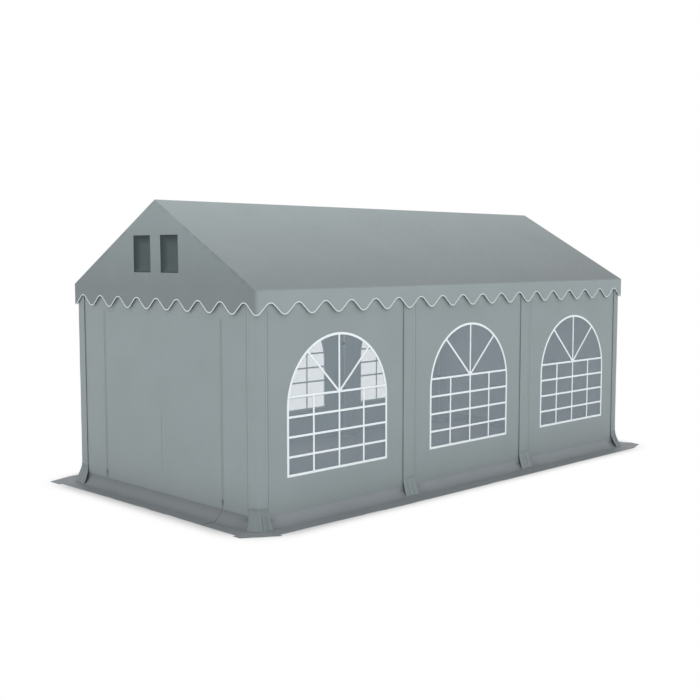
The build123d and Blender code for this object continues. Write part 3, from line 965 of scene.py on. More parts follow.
    def build(self) -> None:
        """Make the cover, its vent screens and the binding of its hem."""
        s, f = self.sizes, self.finishes
        along = np.linspace(-s.half_l, s.half_l, self.waves_along * self.points_per_wave + 1)
        across = np.linspace(-s.half_w, s.half_w, self.waves_across * self.points_per_wave + 1)
        cover = Sheet("roof_cover", s.cloth_t, fold=self.fold)
        for side in SIDES.values():
            self.slope(cover, side, along)
        for facing in SIDE_FACING.values():
            self.valance(cover, facing, along, s.half_w, self.waves_along, self.side_painted_light, self.eave_painted_shade,
                         self.gable_painted_shade)
        for facing in END_FACING.values():
            self.gable(cover, facing, across)
            self.valance(cover, facing, across, s.half_l, self.waves_across, self.gable_painted_shade,
                         self.gable_painted_shade, self.side_painted_light)
        nodes = ["roof_panel_left", "roof_panel_right", "gable_front", "gable_rear",
                 "valance_left", "valance_right"]
        piece = dress(cover, [f.cover], nodes)
        tape = dress(self.binding(along, across), [f.binding], ["hem_piping"])
        for end in ENDS:
            for side in SIDES:
                self.screen(end, side)

    def screen(self, end: str, side: str) -> None:
        """Make one vent screen, behind its gable.

        Args:
            end: front or rear.
            side: left or right.
        """
        corners = self.vent(SIDES[side], self.vent_seam)
        flat, faces = fill(dense(corners, self.net_step), [], self.net_step)
        x, z = flat.T
        size = np.ptp(corners, axis=0)
        rim = np.min(size / 2 - np.abs(flat - np.mean(corners, axis=0)), axis=1)
        depth = self.vents[1].y - self.net_behind - self.vent_belly * smooth(rim, *self.vent_rim)
        # painted shade, deepest under the vent's upper and left edges
        shaded = np.minimum(x - corners[0][0], corners[2][1] - z)
        dark, light = self.net_tones
        tone = dark + (light - dark) * smooth(np.minimum(shaded, self.net_rim * rim), *self.net_shade)
        screen = Sheet(f"vent_screen_{end}_{side}", self.net_t)
        screen.patch(END_FACING[end].place(x, depth, z), faces, flat, tone)
        piece = dress(screen, [self.finishes.net], ["vent_meshes"])

    def binding(self, along: np.ndarray, across: np.ndarray) -> Sheet:
        """Sweep the folded tape round the whole hem, one closed loop.

        Args:
            along: places along the side valances.
            across: places along the end valances.

        Returns:
            The tape.
        """
        s = self.sizes
        middles, outwards = [], []
        for facing, turn in ((Facing.FRONT, 1), (Facing.RIGHT, 1), (Facing.REAR, -1), (Facing.LEFT, -1)):
            if facing.is_end:
                places, half, out, waves = across, s.half_w, s.half_l, self.waves_across
            else:
                places, half, out, waves = along, s.half_l, s.half_w, self.waves_along
            places = places[::turn][:-1]
            height = self.hem(places, half, waves) + self.tape_width / 2
            middles.append(facing.place(places, out + self.swing(places, half, out), height))
            outwards.append(np.broadcast_to([*facing.value[0], 0.0], middles[-1].shape))
        middle, outward = np.concatenate(middles), np.concatenate(outwards)
        outward = outward + np.roll(outward, 1, axis=0)
        ahead = np.roll(middle, -1, axis=0) - np.roll(middle, 1, axis=0)
        outward, ahead = [way / np.linalg.norm(way, axis=1, keepdims=True) for way in (outward, ahead)]
        upward = np.cross(outward, ahead)
        upward /= np.linalg.norm(upward, axis=1, keepdims=True)
        high, thick, corner = self.tape_width / 2, self.tape_t / 2, self.tape_corner
        profile = [(-high, -thick + corner), (-high, thick - corner), (-high + corner, thick),
                   (high - corner, thick), (high, thick - corner), (high, -thick + corner),
                   (high - corner, -thick), (-high + corner, -thick)]
        rings = np.stack([middle + upward * a + outward * b for a, b in profile])
        length = np.cumsum(np.linalg.norm(middle - np.roll(middle, 1, axis=0), axis=1))
        around = np.cumsum([0] + [math.dist(a, b) for a, b in zip(profile, profile[1:])])
        cloth = join(length[None], around[:, None])
        tape = Sheet("hem_binding", 0.0)
        tape.grid(np.concatenate([rings, rings[:1]]), np.concatenate([cloth, cloth[:1]]), around=True)
        return tape


# Side walls and windows

@dataclass
class SideWall:
    """The three panels of one long side, each with an arched lattice window."""

    side: str
    sizes: TentSizes
    finishes: Finishes
    rows: int = 4
    columns: int = 4
    fan_height: float = 1.152  # the bar that the fan of spokes stands on
    fan_angle: float = 45.0  # between neighbouring spokes, degrees
    border: float = 0.0235
    bar: float = 0.0205
    bar_t: float = 0.0026
    bar_proud: float = 0.0006  # of the middle of the cloth
    film_overlap: float = 0.015
    film_t: float = 0.001
    film_gap: float = 0.0002  # between the film and the cloth
    arch_points: int = 49
    edge_step: float = 0.03  # spacing of the points on the windows' edges
    cloth_step: float = 0.04  # and of the panels' mesh
    film_step: float = 0.06  # and of the films' mesh
    swell: float = 0.005  # how far the cloth stands in or out of its plane
    broad: Pair = (0.75, 1.1)  # size of the broad swells, along and up
    narrow: Pair = (0.16, 0.8)  # and of the narrow ones
    narrow_share: float = 0.25
    free_of_leg: Ramp = (0.10, 0.42)  # distances in which the cloth comes free to swell
    free_of_top: Ramp = (0.04, 0.35)
    free_of_ground: Ramp = (0.1, 0.3)
    slit: float = 0.004  # between neighbouring panels
    valance_painted_light: float = 0.13  # painted light that lifts the valance's shadow on the wall
    painted_light_heights: Ramp = (0.0, 0.09)  # heights above the hem's drops in which that painted light shows

    def __post_init__(self) -> None:
        """Read the windows' places from the frame."""
        low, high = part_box("window_bars")
        rows = self.sizes.leg_rows
        self.facing = SIDE_FACING[self.side]
        self.sill, self.crown = low.z, high.z
        self.half = high.y - (rows[-1] + rows[-2]) / 2

    def arch(self, grow: float) -> np.ndarray:
        """Window outline about the middle of its bay.

        Args:
            grow: how far it lies outside the opening.

        Returns:
            Points of the outline.
        """
        half, spring = self.half + grow, self.crown - self.half
        turns = np.linspace(0, math.pi, self.arch_points)
        round_top = join(half * np.cos(turns), spring + half * np.sin(turns))
        return dense([(-half, self.sill - grow), (half, self.sill - grow), *round_top], self.edge_step)

    def relief(self, bay: int) -> Shape:
        """Give the cloth of one bay its swell.

        Args:
            bay: number of the bay, from the front.

        Returns:
            Function of place and height: how far the cloth stands out of its plane.
        """
        front, rear = self.sizes.leg_rows[bay], self.sizes.leg_rows[bay + 1]
        seed = 7.0 * bay + (2.0 if self.side == "left" else 0.0)

        def out(along: np.ndarray, height: np.ndarray) -> np.ndarray:
            """Measure the swell.

            Args:
                along, height: places on the wall.

            Returns:
                Outward distance.
            """
            free = smooth(np.minimum(along - front, rear - along), *self.free_of_leg)
            free = free * smooth(self.sizes.wall_top - height, *self.free_of_top)
            free = free * smooth(height, *self.free_of_ground)
            slow = drift(along, height, *self.broad, seed)
            fine = drift(along, height, *self.narrow, seed + 11)
            return self.swell * free * (slow + self.narrow_share * fine)

        return out

    def cells(self) -> list[np.ndarray]:
        """Cut the window into its clear panes.

        Returns:
            Outlines of the panes between the bars, about the middle of the bay.
        """
        inner = self.arch(-self.border)
        half_bar, row = self.bar / 2, (self.fan_height - self.sill) / self.rows
        column = 2 * self.half / self.columns
        panes = []
        for r in range(self.rows):
            low, high = self.sill + r * row + half_bar, self.sill + (r + 1) * row - half_bar
            strip = clip(clip(inner, (0, low), (0, 1)), (0, high), (0, -1))
            for c in range(self.columns):
                left, right = c * column - self.half + half_bar, (c + 1) * column - self.half - half_bar
                panes.append(clip(clip(strip, (left, 0), (1, 0)), (right, 0), (-1, 0)))
        fan = clip(inner, (0, self.fan_height + half_bar), (0, 1))
        spokes = [math.radians(turn) for turn in (-self.fan_angle, 0, self.fan_angle)]
        for start, end in zip([None, *spokes], [*spokes, None]):
            sector = fan
            for turn, way in ((start, 1), (end, -1)):
                if turn is not None:
                    square = np.array([math.cos(turn), -math.sin(turn)]) * way
                    sector = clip(sector, square * half_bar + (0, self.fan_height), square)
            panes.append(sector)
        return [dense(pane, self.edge_step) for pane in panes]

    def hang(self, kind: str, bay: int, thickness: float, cut: tuple[np.ndarray, Triangles],
             proud: float) -> Sheet:
        """Hang flat triangles on the wall, following the cloth's relief.

        Args:
            kind: start of the piece's name.
            bay: number of the bay, from the front.
            thickness: of the cloth, film or strip.
            cut: flat points and triangles.
            proud: how far it lies outside the middle of the wall's cloth.

        Returns:
            The sheet.
        """
        flat, faces = cut
        along, height = flat.T
        stand = self.sizes.wall_x + proud + self.relief(bay)(along, height)
        # painted light under the valance, against its shadow
        tone = 1.0 + self.valance_painted_light * smooth(height - self.sizes.hem_low, *self.painted_light_heights)
        sheet = Sheet(f"{kind}_{self.side}_{bay + 1}", thickness)
        sheet.patch(self.facing.place(along, stand, height), faces, flat, tone)
        return sheet

    def build(self) -> None:
        """Make the panels, films and lattices of this side."""
        s, f = self.sizes, self.finishes
        behind = -(s.cloth_t + self.film_t) / 2 - self.film_gap
        for bay in range(len(s.leg_rows) - 1):
            front, rear = s.leg_rows[bay] + self.slit / 2, s.leg_rows[bay + 1] - self.slit / 2
            shift = np.array([(s.leg_rows[bay] + s.leg_rows[bay + 1]) / 2, 0.0])
            corners = [(front, s.wall_low), (rear, s.wall_low), (rear, s.wall_top), (front, s.wall_top)]
            opening = self.arch(0.0) + shift
            cut = fill(dense(corners, self.cloth_step), [opening], self.cloth_step)
            panel = self.hang("side_wall", bay, s.cloth_t, cut, 0.0)
            piece = dress(panel, [f.wall], [f"side_panel_{self.side}_{bay + 1}"])
            cut = fill(opening, [cell + shift for cell in self.cells()], 0.0)
            lattice = self.hang("window_lattice", bay, self.bar_t, cut, self.bar_proud)
            bars = dress(lattice, [f.bar], ["window_bars"])
            cut = fill(self.arch(self.film_overlap) + shift, [], self.film_step)
            film = self.hang("window_film", bay, self.film_t, cut, behind)
            pane = dress(film, [f.film], ["window_films"])


# End walls and doors

@dataclass
class EndWall:
    """One end wall: the fixed jambs and head, the lifting door and its zips."""

    end: str
    sizes: TentSizes
    finishes: Finishes
    cloth_step: float = 0.04  # spacing of the mesh
    swell: float = 0.005  # how far the cloth stands in or out of its plane
    broad: Pair = (0.8, 1.3)  # size of the broad swells, across and up
    narrow: Pair = (0.15, 0.9)  # and of the narrow ones
    narrow_share: float = 0.2
    free_of_zip: Ramp = (0.03, 0.22)  # distances in which the cloth comes free to swell
    free_of_leg: Ramp = (0.12, 0.4)
    free_of_head: Ramp = (0.02, 0.25)
    free_of_ground: Ramp = (0.1, 0.3)
    crease_at: float = 0.02  # fold down the middle of the door
    crease_depth: float = 0.0045
    crease_width: float = 0.006
    crease_least: float = 0.25  # share of its depth where it is pressed least
    crease_length: float = 0.35  # of a stretch that is pressed more or less
    crease_pressed: Ramp = (-0.1, 0.3)  # values of the noise
    crease_low: Ramp = (0.12, 0.3)  # heights in which it starts
    crease_high: Ramp = (0.3, 0.9)  # distances below the head in which it ends
    crease_margin: float = 0.05  # its mesh stops short of the door's ends
    crease_painted_shade: float = 0.34  # painted shade: how much darker the crease is
    crease_shade_low: Ramp = (0.30, 0.40)  # heights in which the painted shade starts
    crease_shade_high: Ramp = (0.98, 0.72)  # and ends
    head_slit: float = 0.0005  # between the wall's edge and the door's head
    fly: float = 0.012  # lap of cloth behind the slit at the door's head
    fly_painted_light: float = 2.6  # painted light: pale, so that the slit's shadow hardly shows
    tape: float = 0.020
    tape_t: float = 0.001
    tape_edge: float = 0.6  # thickness of the tape's outer edge, as a share
    tape_step: float = 0.05
    tape_gap: float = 0.0001  # between the tape and the cloth
    teeth_gap: float = 0.0004
    tooth: float = 0.003
    tooth_out: float = 0.0021
    tooth_pitch: float = 0.010  # teeth are 5 mm apart, drawn coarser so that they show
    tooth_top: float = 0.8  # width of a tooth's outer face, as a share
    tooth_share: float = 0.55  # of the pitch that a tooth takes up
    tooth_ends: Pair = (0.004, 0.008)  # tape left free below and above the teeth

    def __post_init__(self) -> None:
        """Read the door's and the zips' places from the frame."""
        self.facing = END_FACING[self.end]
        self.door_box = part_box(f"{self.end}_door")
        self.zip_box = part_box("jamb_zips")
        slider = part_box(f"zip_slider_{self.end}_right")
        self.zip_x = (slider[0].x + slider[1].x) / 2
        self.head = self.door_box[1].z

    def crease(self, across: np.ndarray) -> np.ndarray:
        """How near the middle of the crease each place is: 1 on it, 0 beside it."""
        return np.maximum(1 - np.abs(across - self.crease_at) / self.crease_width, 0)

    def out(self, across: np.ndarray, height: np.ndarray) -> np.ndarray:
        """Give the cloth its swell and its crease; flat along the zips, the head and the legs.

        Args:
            across, height: places on the wall.

        Returns:
            How far the cloth stands out of its plane.
        """
        free = smooth(np.abs(np.abs(across) - self.zip_x), *self.free_of_zip)
        free = free * smooth(self.sizes.leg_x - np.abs(across), *self.free_of_leg)
        free = free * smooth(np.abs(height - self.head), *self.free_of_head)
        free = free * smooth(height, *self.free_of_ground)
        seed = 21.0 if self.end == "front" else 33.0
        slow = drift(across, height, *self.broad, seed)
        fine = drift(across, height, *self.narrow, seed)
        pressed = smooth(drift(height, height * 0, self.crease_length, 1.0, seed + 5), *self.crease_pressed)
        pressed = self.crease_least + (1 - self.crease_least) * pressed
        pressed = pressed * smooth(height, *self.crease_low) * smooth(self.head - height, *self.crease_high)
        swell = self.swell * free * (slow + self.narrow_share * fine)
        return swell - self.crease_depth * pressed * self.crease(across)

    def cloth(self, name: str, outline: list[Pair],
              creases: Sequence[np.ndarray] = ()) -> Sheet:
        """Cut one flat piece of the end wall.

        Args:
            name: name of the piece.
            outline: its corners, across and up.
            creases: lines that its mesh follows.

        Returns:
            The sheet.
        """
        flat, faces = fill(dense(outline, self.cloth_step), [], self.cloth_step, creases)
        across, height = flat.T
        # painted shade along the door's crease
        crease_shade_band = smooth(height, *self.crease_shade_low) * smooth(height, *self.crease_shade_high)
        tone = 1.0 - self.crease_painted_shade * crease_shade_band * self.crease(across)
        stand = self.sizes.wall_y + self.out(across, height)
        sheet = Sheet(name, self.sizes.cloth_t)
        sheet.patch(self.facing.place(across, stand, height), faces, flat, tone)
        return sheet

    def zip_half(self, name: str, side: float, towards: float) -> Sheet:
        """Make tape with its row of teeth, on the door or on the jamb.

        Args:
            name: name of the piece.
            side: -1 for the left zip, 1 for the right one.
            towards: -1 for the half on the door, 1 for the one on the jamb.

        Returns:
            The sheet with both.
        """
        low, high = self.zip_box[0].z, self.zip_box[1].z
        face = self.sizes.wall_y + self.sizes.cloth_t / 2
        nearest = self.zip_x + towards * self.teeth_gap / 2
        half = Sheet(name, 0.0)
        height = stretch(low, high, self.tape_step)[:, None]
        edge_t = self.tape_t * self.tape_edge
        ring = np.array([(0, 0), (self.tape, 0), (self.tape, edge_t), (0, self.tape_t)])
        x = side * (nearest + towards * ring[:, 0])
        band = self.facing.place(x, face + self.tape_gap + ring[:, 1], height)
        ends = [(0, 1, 2, 3), (7, 6, 5, 4)]
        half.grid(band, join(height, ring[:, 0]), around=True)
        half.patch(np.concatenate([band[0], band[-1]]), ends, np.zeros((8, 2)))
        face_of_tooth = ((0, 0), (1, 0), (self.tooth_top, 1), (0, 1))
        block = np.array([(a, b, c) for c in (0.0, self.tooth_share) for a, b in face_of_tooth])
        sides = [*ends, (0, 4, 5, 1), (1, 5, 6, 2), (2, 6, 7, 3), (3, 7, 4, 0)]
        x = side * (nearest + towards * block[:, 0] * self.tooth)
        out = face + self.tape_t + block[:, 1] * self.tooth_out
        first = low + self.tooth_ends[0] + (0.0 if towards < 0 else self.tooth_pitch / 2)
        for z in np.arange(first, high - self.tooth_ends[1], self.tooth_pitch):
            tooth = self.facing.place(x, out, z + block[:, 2] * self.tooth_pitch)
            half.patch(tooth, sides, np.zeros((8, 2)), finish=1)
        return half

    def build(self) -> None:
        """Make the wall, the door and the zips."""
        s, f = self.sizes, self.finishes
        low, high = self.door_box
        jamb, head = 2 * self.zip_x - high.x, self.head + self.head_slit
        wall = self.cloth(f"end_wall_cloth_{self.end}", [
            (-s.leg_x, s.wall_low), (-jamb, s.wall_low), (-jamb, head), (jamb, head), (jamb, s.wall_low),
            (s.leg_x, s.wall_low), (s.leg_x, s.wall_top), (-s.leg_x, s.wall_top)])
        across = stretch(-jamb, jamb, self.cloth_step)
        # pale lap behind the door's head: painted light against the slit's shadow
        lap = np.array([self.head + self.fly, self.head - self.fly])[:, None]
        behind = self.facing.place(across, s.wall_y - LAP_SPACING * s.cloth_t, lap)
        wall.grid(behind, join(across, lap), self.fly_painted_light)
        piece = dress(wall, [f.wall], [f"end_wall_{self.end}"])
        rows = stretch(s.wall_low + self.crease_margin, self.head - self.crease_margin, self.cloth_step)
        creases = [join(self.crease_at + d, rows) for d in (-self.crease_width, 0.0, self.crease_width)]
        body, top = f"{self.end}_door", self.head - s.cloth_t / 2
        corners = [(low.x, s.wall_low), (high.x, s.wall_low), (high.x, top), (low.x, top)]
        panel = self.cloth(f"door_cloth_{self.end}", corners, creases)
        door = dress(panel, [f.wall], [body], body)
        halves = (("jamb", 1.0, "jamb_zips", BODY), ("door", -1.0, f"{body}_zips", body))
        for side, sign in SIDES.items():
            for place, towards, node, owner in halves:
                half = self.zip_half(f"zip_{place}_{self.end}_{side}", sign, towards)
                dress(half, [f.zip_tape, f.teeth], [node], owner)


# Ground skirts, sleeves and boots

@dataclass
class GroundSkirts:
    """Skirts that slope out from the walls' feet and lie on the ground, with flaps at the corners."""

    sizes: TentSizes
    finishes: Finishes
    run: float = 0.090  # how far the slope goes out
    lap: float = 0.024  # how far it goes up behind the wall
    bend: Pair = (0.004, 0.012)  # out and down, from the wall's foot to the slope
    roundings: int = 3  # how often the section's bends are smoothed
    section_step: float = 0.013
    length_step: float = 0.02
    wrinkle: float = 0.004
    wrinkle_size: Pair = (0.055, 0.25)  # along and out
    wrinkle_shares: Pair = (0.35, 1.35)  # far from the legs and beside them
    wrinkle_lean: float = 0.7  # share of a wrinkle's depth that goes out, and that goes up
    wrinkled: Ramp = (0.55, 0.10)  # distances from a leg
    wrinkles_from: Ramp = (0.0, 0.03)  # distances out from the wall in which the wrinkles start
    wrinkles_until: Ramp = (0.05, -0.02)  # and in which they end, from the slope's foot
    sway: float = 0.016  # how far the fold at the slope's foot wanders
    sway_span: Ramp = (0.01, 0.25)  # distances out that stay as they are, on either side of it
    lift: float = 0.004  # how far the flat stretch rises off the ground
    lift_size: float = 0.30
    lift_out: float = 0.12
    lift_run: float = 0.06  # from the slope's foot to where it may rise fully
    lifted: Ramp = (0.05, 0.6)  # values of the noise
    drawn: float = 0.034  # how far the boots draw it in
    drawn_near: Ramp = (0.24, 0.11)  # distances from a leg
    drawn_from: Ramp = (0.0, 0.05)  # distances out in which that starts
    drawn_until: Ramp = (0.24, 0.10)  # and in which it ends
    under: float = 0.0024  # how far the end skirts lie below the door's skirt, where it laps them
    under_run: float = 0.003  # in from that skirt's edge to where they lie so low
    under_flat: float = 0.08  # out from its edge to where they may rise again
    insets: Pair = (0.002, 0.012)  # the side skirts' ends, from a middle leg and a corner leg
    slant: float = 0.087  # where the corner flaps' slanting cut starts, beyond the side wall
    pulled: float = 0.098  # how much further out it is on the two flaps that lie pulled out
    square: float = 0.022  # how far past the side skirts' ends the cut stops
    tight: float = 0.034  # how far the end skirts' outer edges draw in, so that the flaps' tips stick out
    tight_run: Ramp = (1.8, 0.2)  # distances from the corner in which the side skirts' edges do so
    clear: float = 0.002  # between the flaps and the foot plates
    flap_step: float = 0.025
    flap_lift: Pair = (0.10, 0.14)  # size of the places where a flap rises, across and along
    flat_tone: float = 0.95  # the flat stretch, darker than the slope's painted highlight
    side_tones: Pair = (1.27, 1.20)  # painted highlight at the top and the middle of the side skirts' slope
    end_tones: Pair = (0.91, 1.05)  # painted shade at the top and painted highlight in the middle of the end skirts' slope
    tone_from: float = 0.01  # distance out at which the slope's top tone holds

    def __post_init__(self) -> None:
        """Read the outer edges from the frame."""
        self.side_box, self.end_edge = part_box("side_skirts")[1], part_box("end_skirts")[1].x
        self.reach = self.side_box.x - self.sizes.wall_x

    def profile(self, low: float) -> tuple[np.ndarray, np.ndarray]:
        """Section of a skirt, with its bends rounded.

        Args:
            low: height of the flat stretch.

        Returns:
            Distances out from the wall, and heights.
        """
        top, tuck = self.sizes.wall_low, -LAP_SPACING * self.sizes.cloth_t
        corners = [(tuck, top + self.lap), (tuck, top), (self.bend[0], top - self.bend[1]), (self.run, low),
                   (self.reach, low)]
        points = [np.array(corners[0])]
        for start, end in zip(corners, corners[1:]):
            steps = max(1, round(math.dist(start, end) / self.section_step))
            points += [np.array(start) + (np.array(end) - start) * i / steps for i in range(1, steps + 1)]
        line = np.array(points)
        for _ in range(self.roundings):
            line[2:-1] = (line[1:-2] + 2 * line[2:-1] + line[3:]) / 4
        return line[:, 0], np.maximum(line[:, 1], low)

    def skirt(self, name: str, facing: Facing, wall: float, ends: Sequence[float], low: float,
              posts: Sequence[float], node: str, held: str, hangs_on: str, body: str = BODY,
              beside: float = 0.0) -> None:
        """Make one length of skirt.

        Args:
            name: name of the piece.
            facing: which way its wall faces.
            wall: middle of the wall's cloth.
            ends: where it starts and stops along the wall.
            low: height of its flat stretch.
            posts: places of the legs, where it is wrinkled.
            node: solid that it replaces.
            held: not used.
            hangs_on: not used.
            body: what it moves with.
            beside: half width of a door whose skirt laps over this one.
        """
        run, reach = self.run, self.reach
        out, height = self.profile(low)
        along = stretch(*ends, self.length_step)[:, None]
        from_post = np.min([np.abs(along - post) for post in posts], axis=0)
        seed = wall + low * 100 + ends[0]
        least, most = self.wrinkle_shares
        pulled = least + (most - least) * smooth(from_post, *self.wrinkled)
        sloping = smooth(out, *self.wrinkles_from) * smooth(out - run, *self.wrinkles_until)
        folds = self.wrinkle * pulled * sloping * drift(along, out, *self.wrinkle_size, seed)
        folds_out, folds_up = self.wrinkle_lean * folds, self.wrinkle_lean * np.abs(folds)
        rise = smooth(drift(along, out, self.lift_size, self.lift_out, seed + 3), *self.lifted)
        rise = self.lift * smooth(out, run, run + self.lift_run) * rise
        if beside:
            rise = rise * smooth(np.abs(along), beside, beside + self.under_flat)
        drawn = self.drawn * smooth(from_post, *self.drawn_near)
        drawn = drawn * smooth(out, *self.drawn_from) * smooth(out, *self.drawn_until)
        under = self.under * smooth(np.abs(along), beside, beside - self.under_run)
        loose = smooth(out, self.sway_span[0], run) * smooth(out, self.sway_span[1], run)
        sway = self.sway * loose * drift(along, out * 0, self.lift_size, 1.0, wall + 7)
        towards = -sum(facing.value[0])
        near_tip = 1.0 if facing.is_end else smooth(posts[-1] - along * towards, *self.tight_run)
        tight = self.tight * near_tip + 0 * along
        edge_share = np.clip((out - run) / (reach - run), 0, 1)
        stand = wall + out + folds_out + sway - drawn - under - tight * edge_share
        level = np.maximum(height + folds_up + rise, low)
        # painted highlight and shade down the slope
        tones = [*(self.end_tones if facing.is_end else self.side_tones), self.flat_tone, self.flat_tone]
        tone = np.interp(out, [self.tone_from, run / 2, run, reach], tones) + 0 * along
        girths = np.cumsum(np.hypot(*np.gradient(np.stack([out, height]), axis=1)))
        sheet = Sheet(name, self.sizes.cloth_t)
        sheet.grid(facing.place(along, stand, level), join(along, girths), tone)
        piece = dress(sheet, [self.finishes.skirt], [node], body)

    def build(self) -> None:
        """Make all the skirts and the four corner flaps."""
        s = self.sizes
        low = s.cloth_t / 2
        last = len(s.leg_rows) - 1
        for side, facing in SIDE_FACING.items():
            for bay in range(last):
                front, rear = [self.insets[leg in (0, last)] for leg in (bay, bay + 1)]
                ends = (s.leg_rows[bay] + front, s.leg_rows[bay + 1] - rear)
                self.skirt(f"ground_skirt_{side}_{bay + 1}", facing, s.wall_x, ends, low, s.leg_rows,
                           "side_skirts", "laid", f"side_wall_{side}_{bay + 1}")
        posts = (-s.leg_x, s.leg_x)
        for end, facing in END_FACING.items():
            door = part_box(f"{end}_door_skirt")
            for side, sign in SIDES.items():
                ends = sorted((sign * (door[1].x - self.lap), sign * self.end_edge))
                self.skirt(f"end_skirt_{end}_{side}", facing, s.wall_y, ends, low, posts,
                           "end_skirts", "laid", f"end_wall_cloth_{end}", beside=door[1].x)
            body = f"{end}_door"
            over = door[0].z + low + self.under / 2
            self.skirt(f"door_skirt_{end}", facing, s.wall_y, (door[0].x, door[1].x), over, posts,
                       f"{body}_skirt", "hung", f"door_cloth_{end}", body)
            for side in SIDES:
                self.flap(end, side)

    def flap(self, end: str, side: str) -> None:
        """Make the flat flap at one corner, with its slanting cut.

        Args:
            end: front or rear.
            side: left or right.
        """
        s = self.sizes
        slant = self.slant + self.pulled * (SIDES[side] == ENDS[end])
        outer, outer_end, start = self.side_box.x, s.wall_y + self.reach, self.side_box.y
        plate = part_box("foot_plates")[1] + Vector((self.clear, self.clear, 0))
        corners = np.array([
            (self.end_edge, outer_end), (s.wall_x + slant, outer_end), (outer, start + self.square),
            (outer, start), (plate.x, start), (plate.x, plate.y), (self.end_edge, plate.y)])
        flat, faces = fill(dense(corners, self.flap_step), [], self.flap_step)
        x, y = (flat * (SIDES[side], ENDS[end])).T
        rise = self.lift * smooth(drift(x, y, *self.flap_lift, seed=4.0), 0.0, self.lifted[1])
        sheet = Sheet(f"corner_flap_{end}_{side}", s.cloth_t)
        sheet.patch(join(x, y, s.cloth_t / 2 + rise), faces, flat)
        piece = dress(sheet, [self.finishes.skirt], ["corner_flaps"])


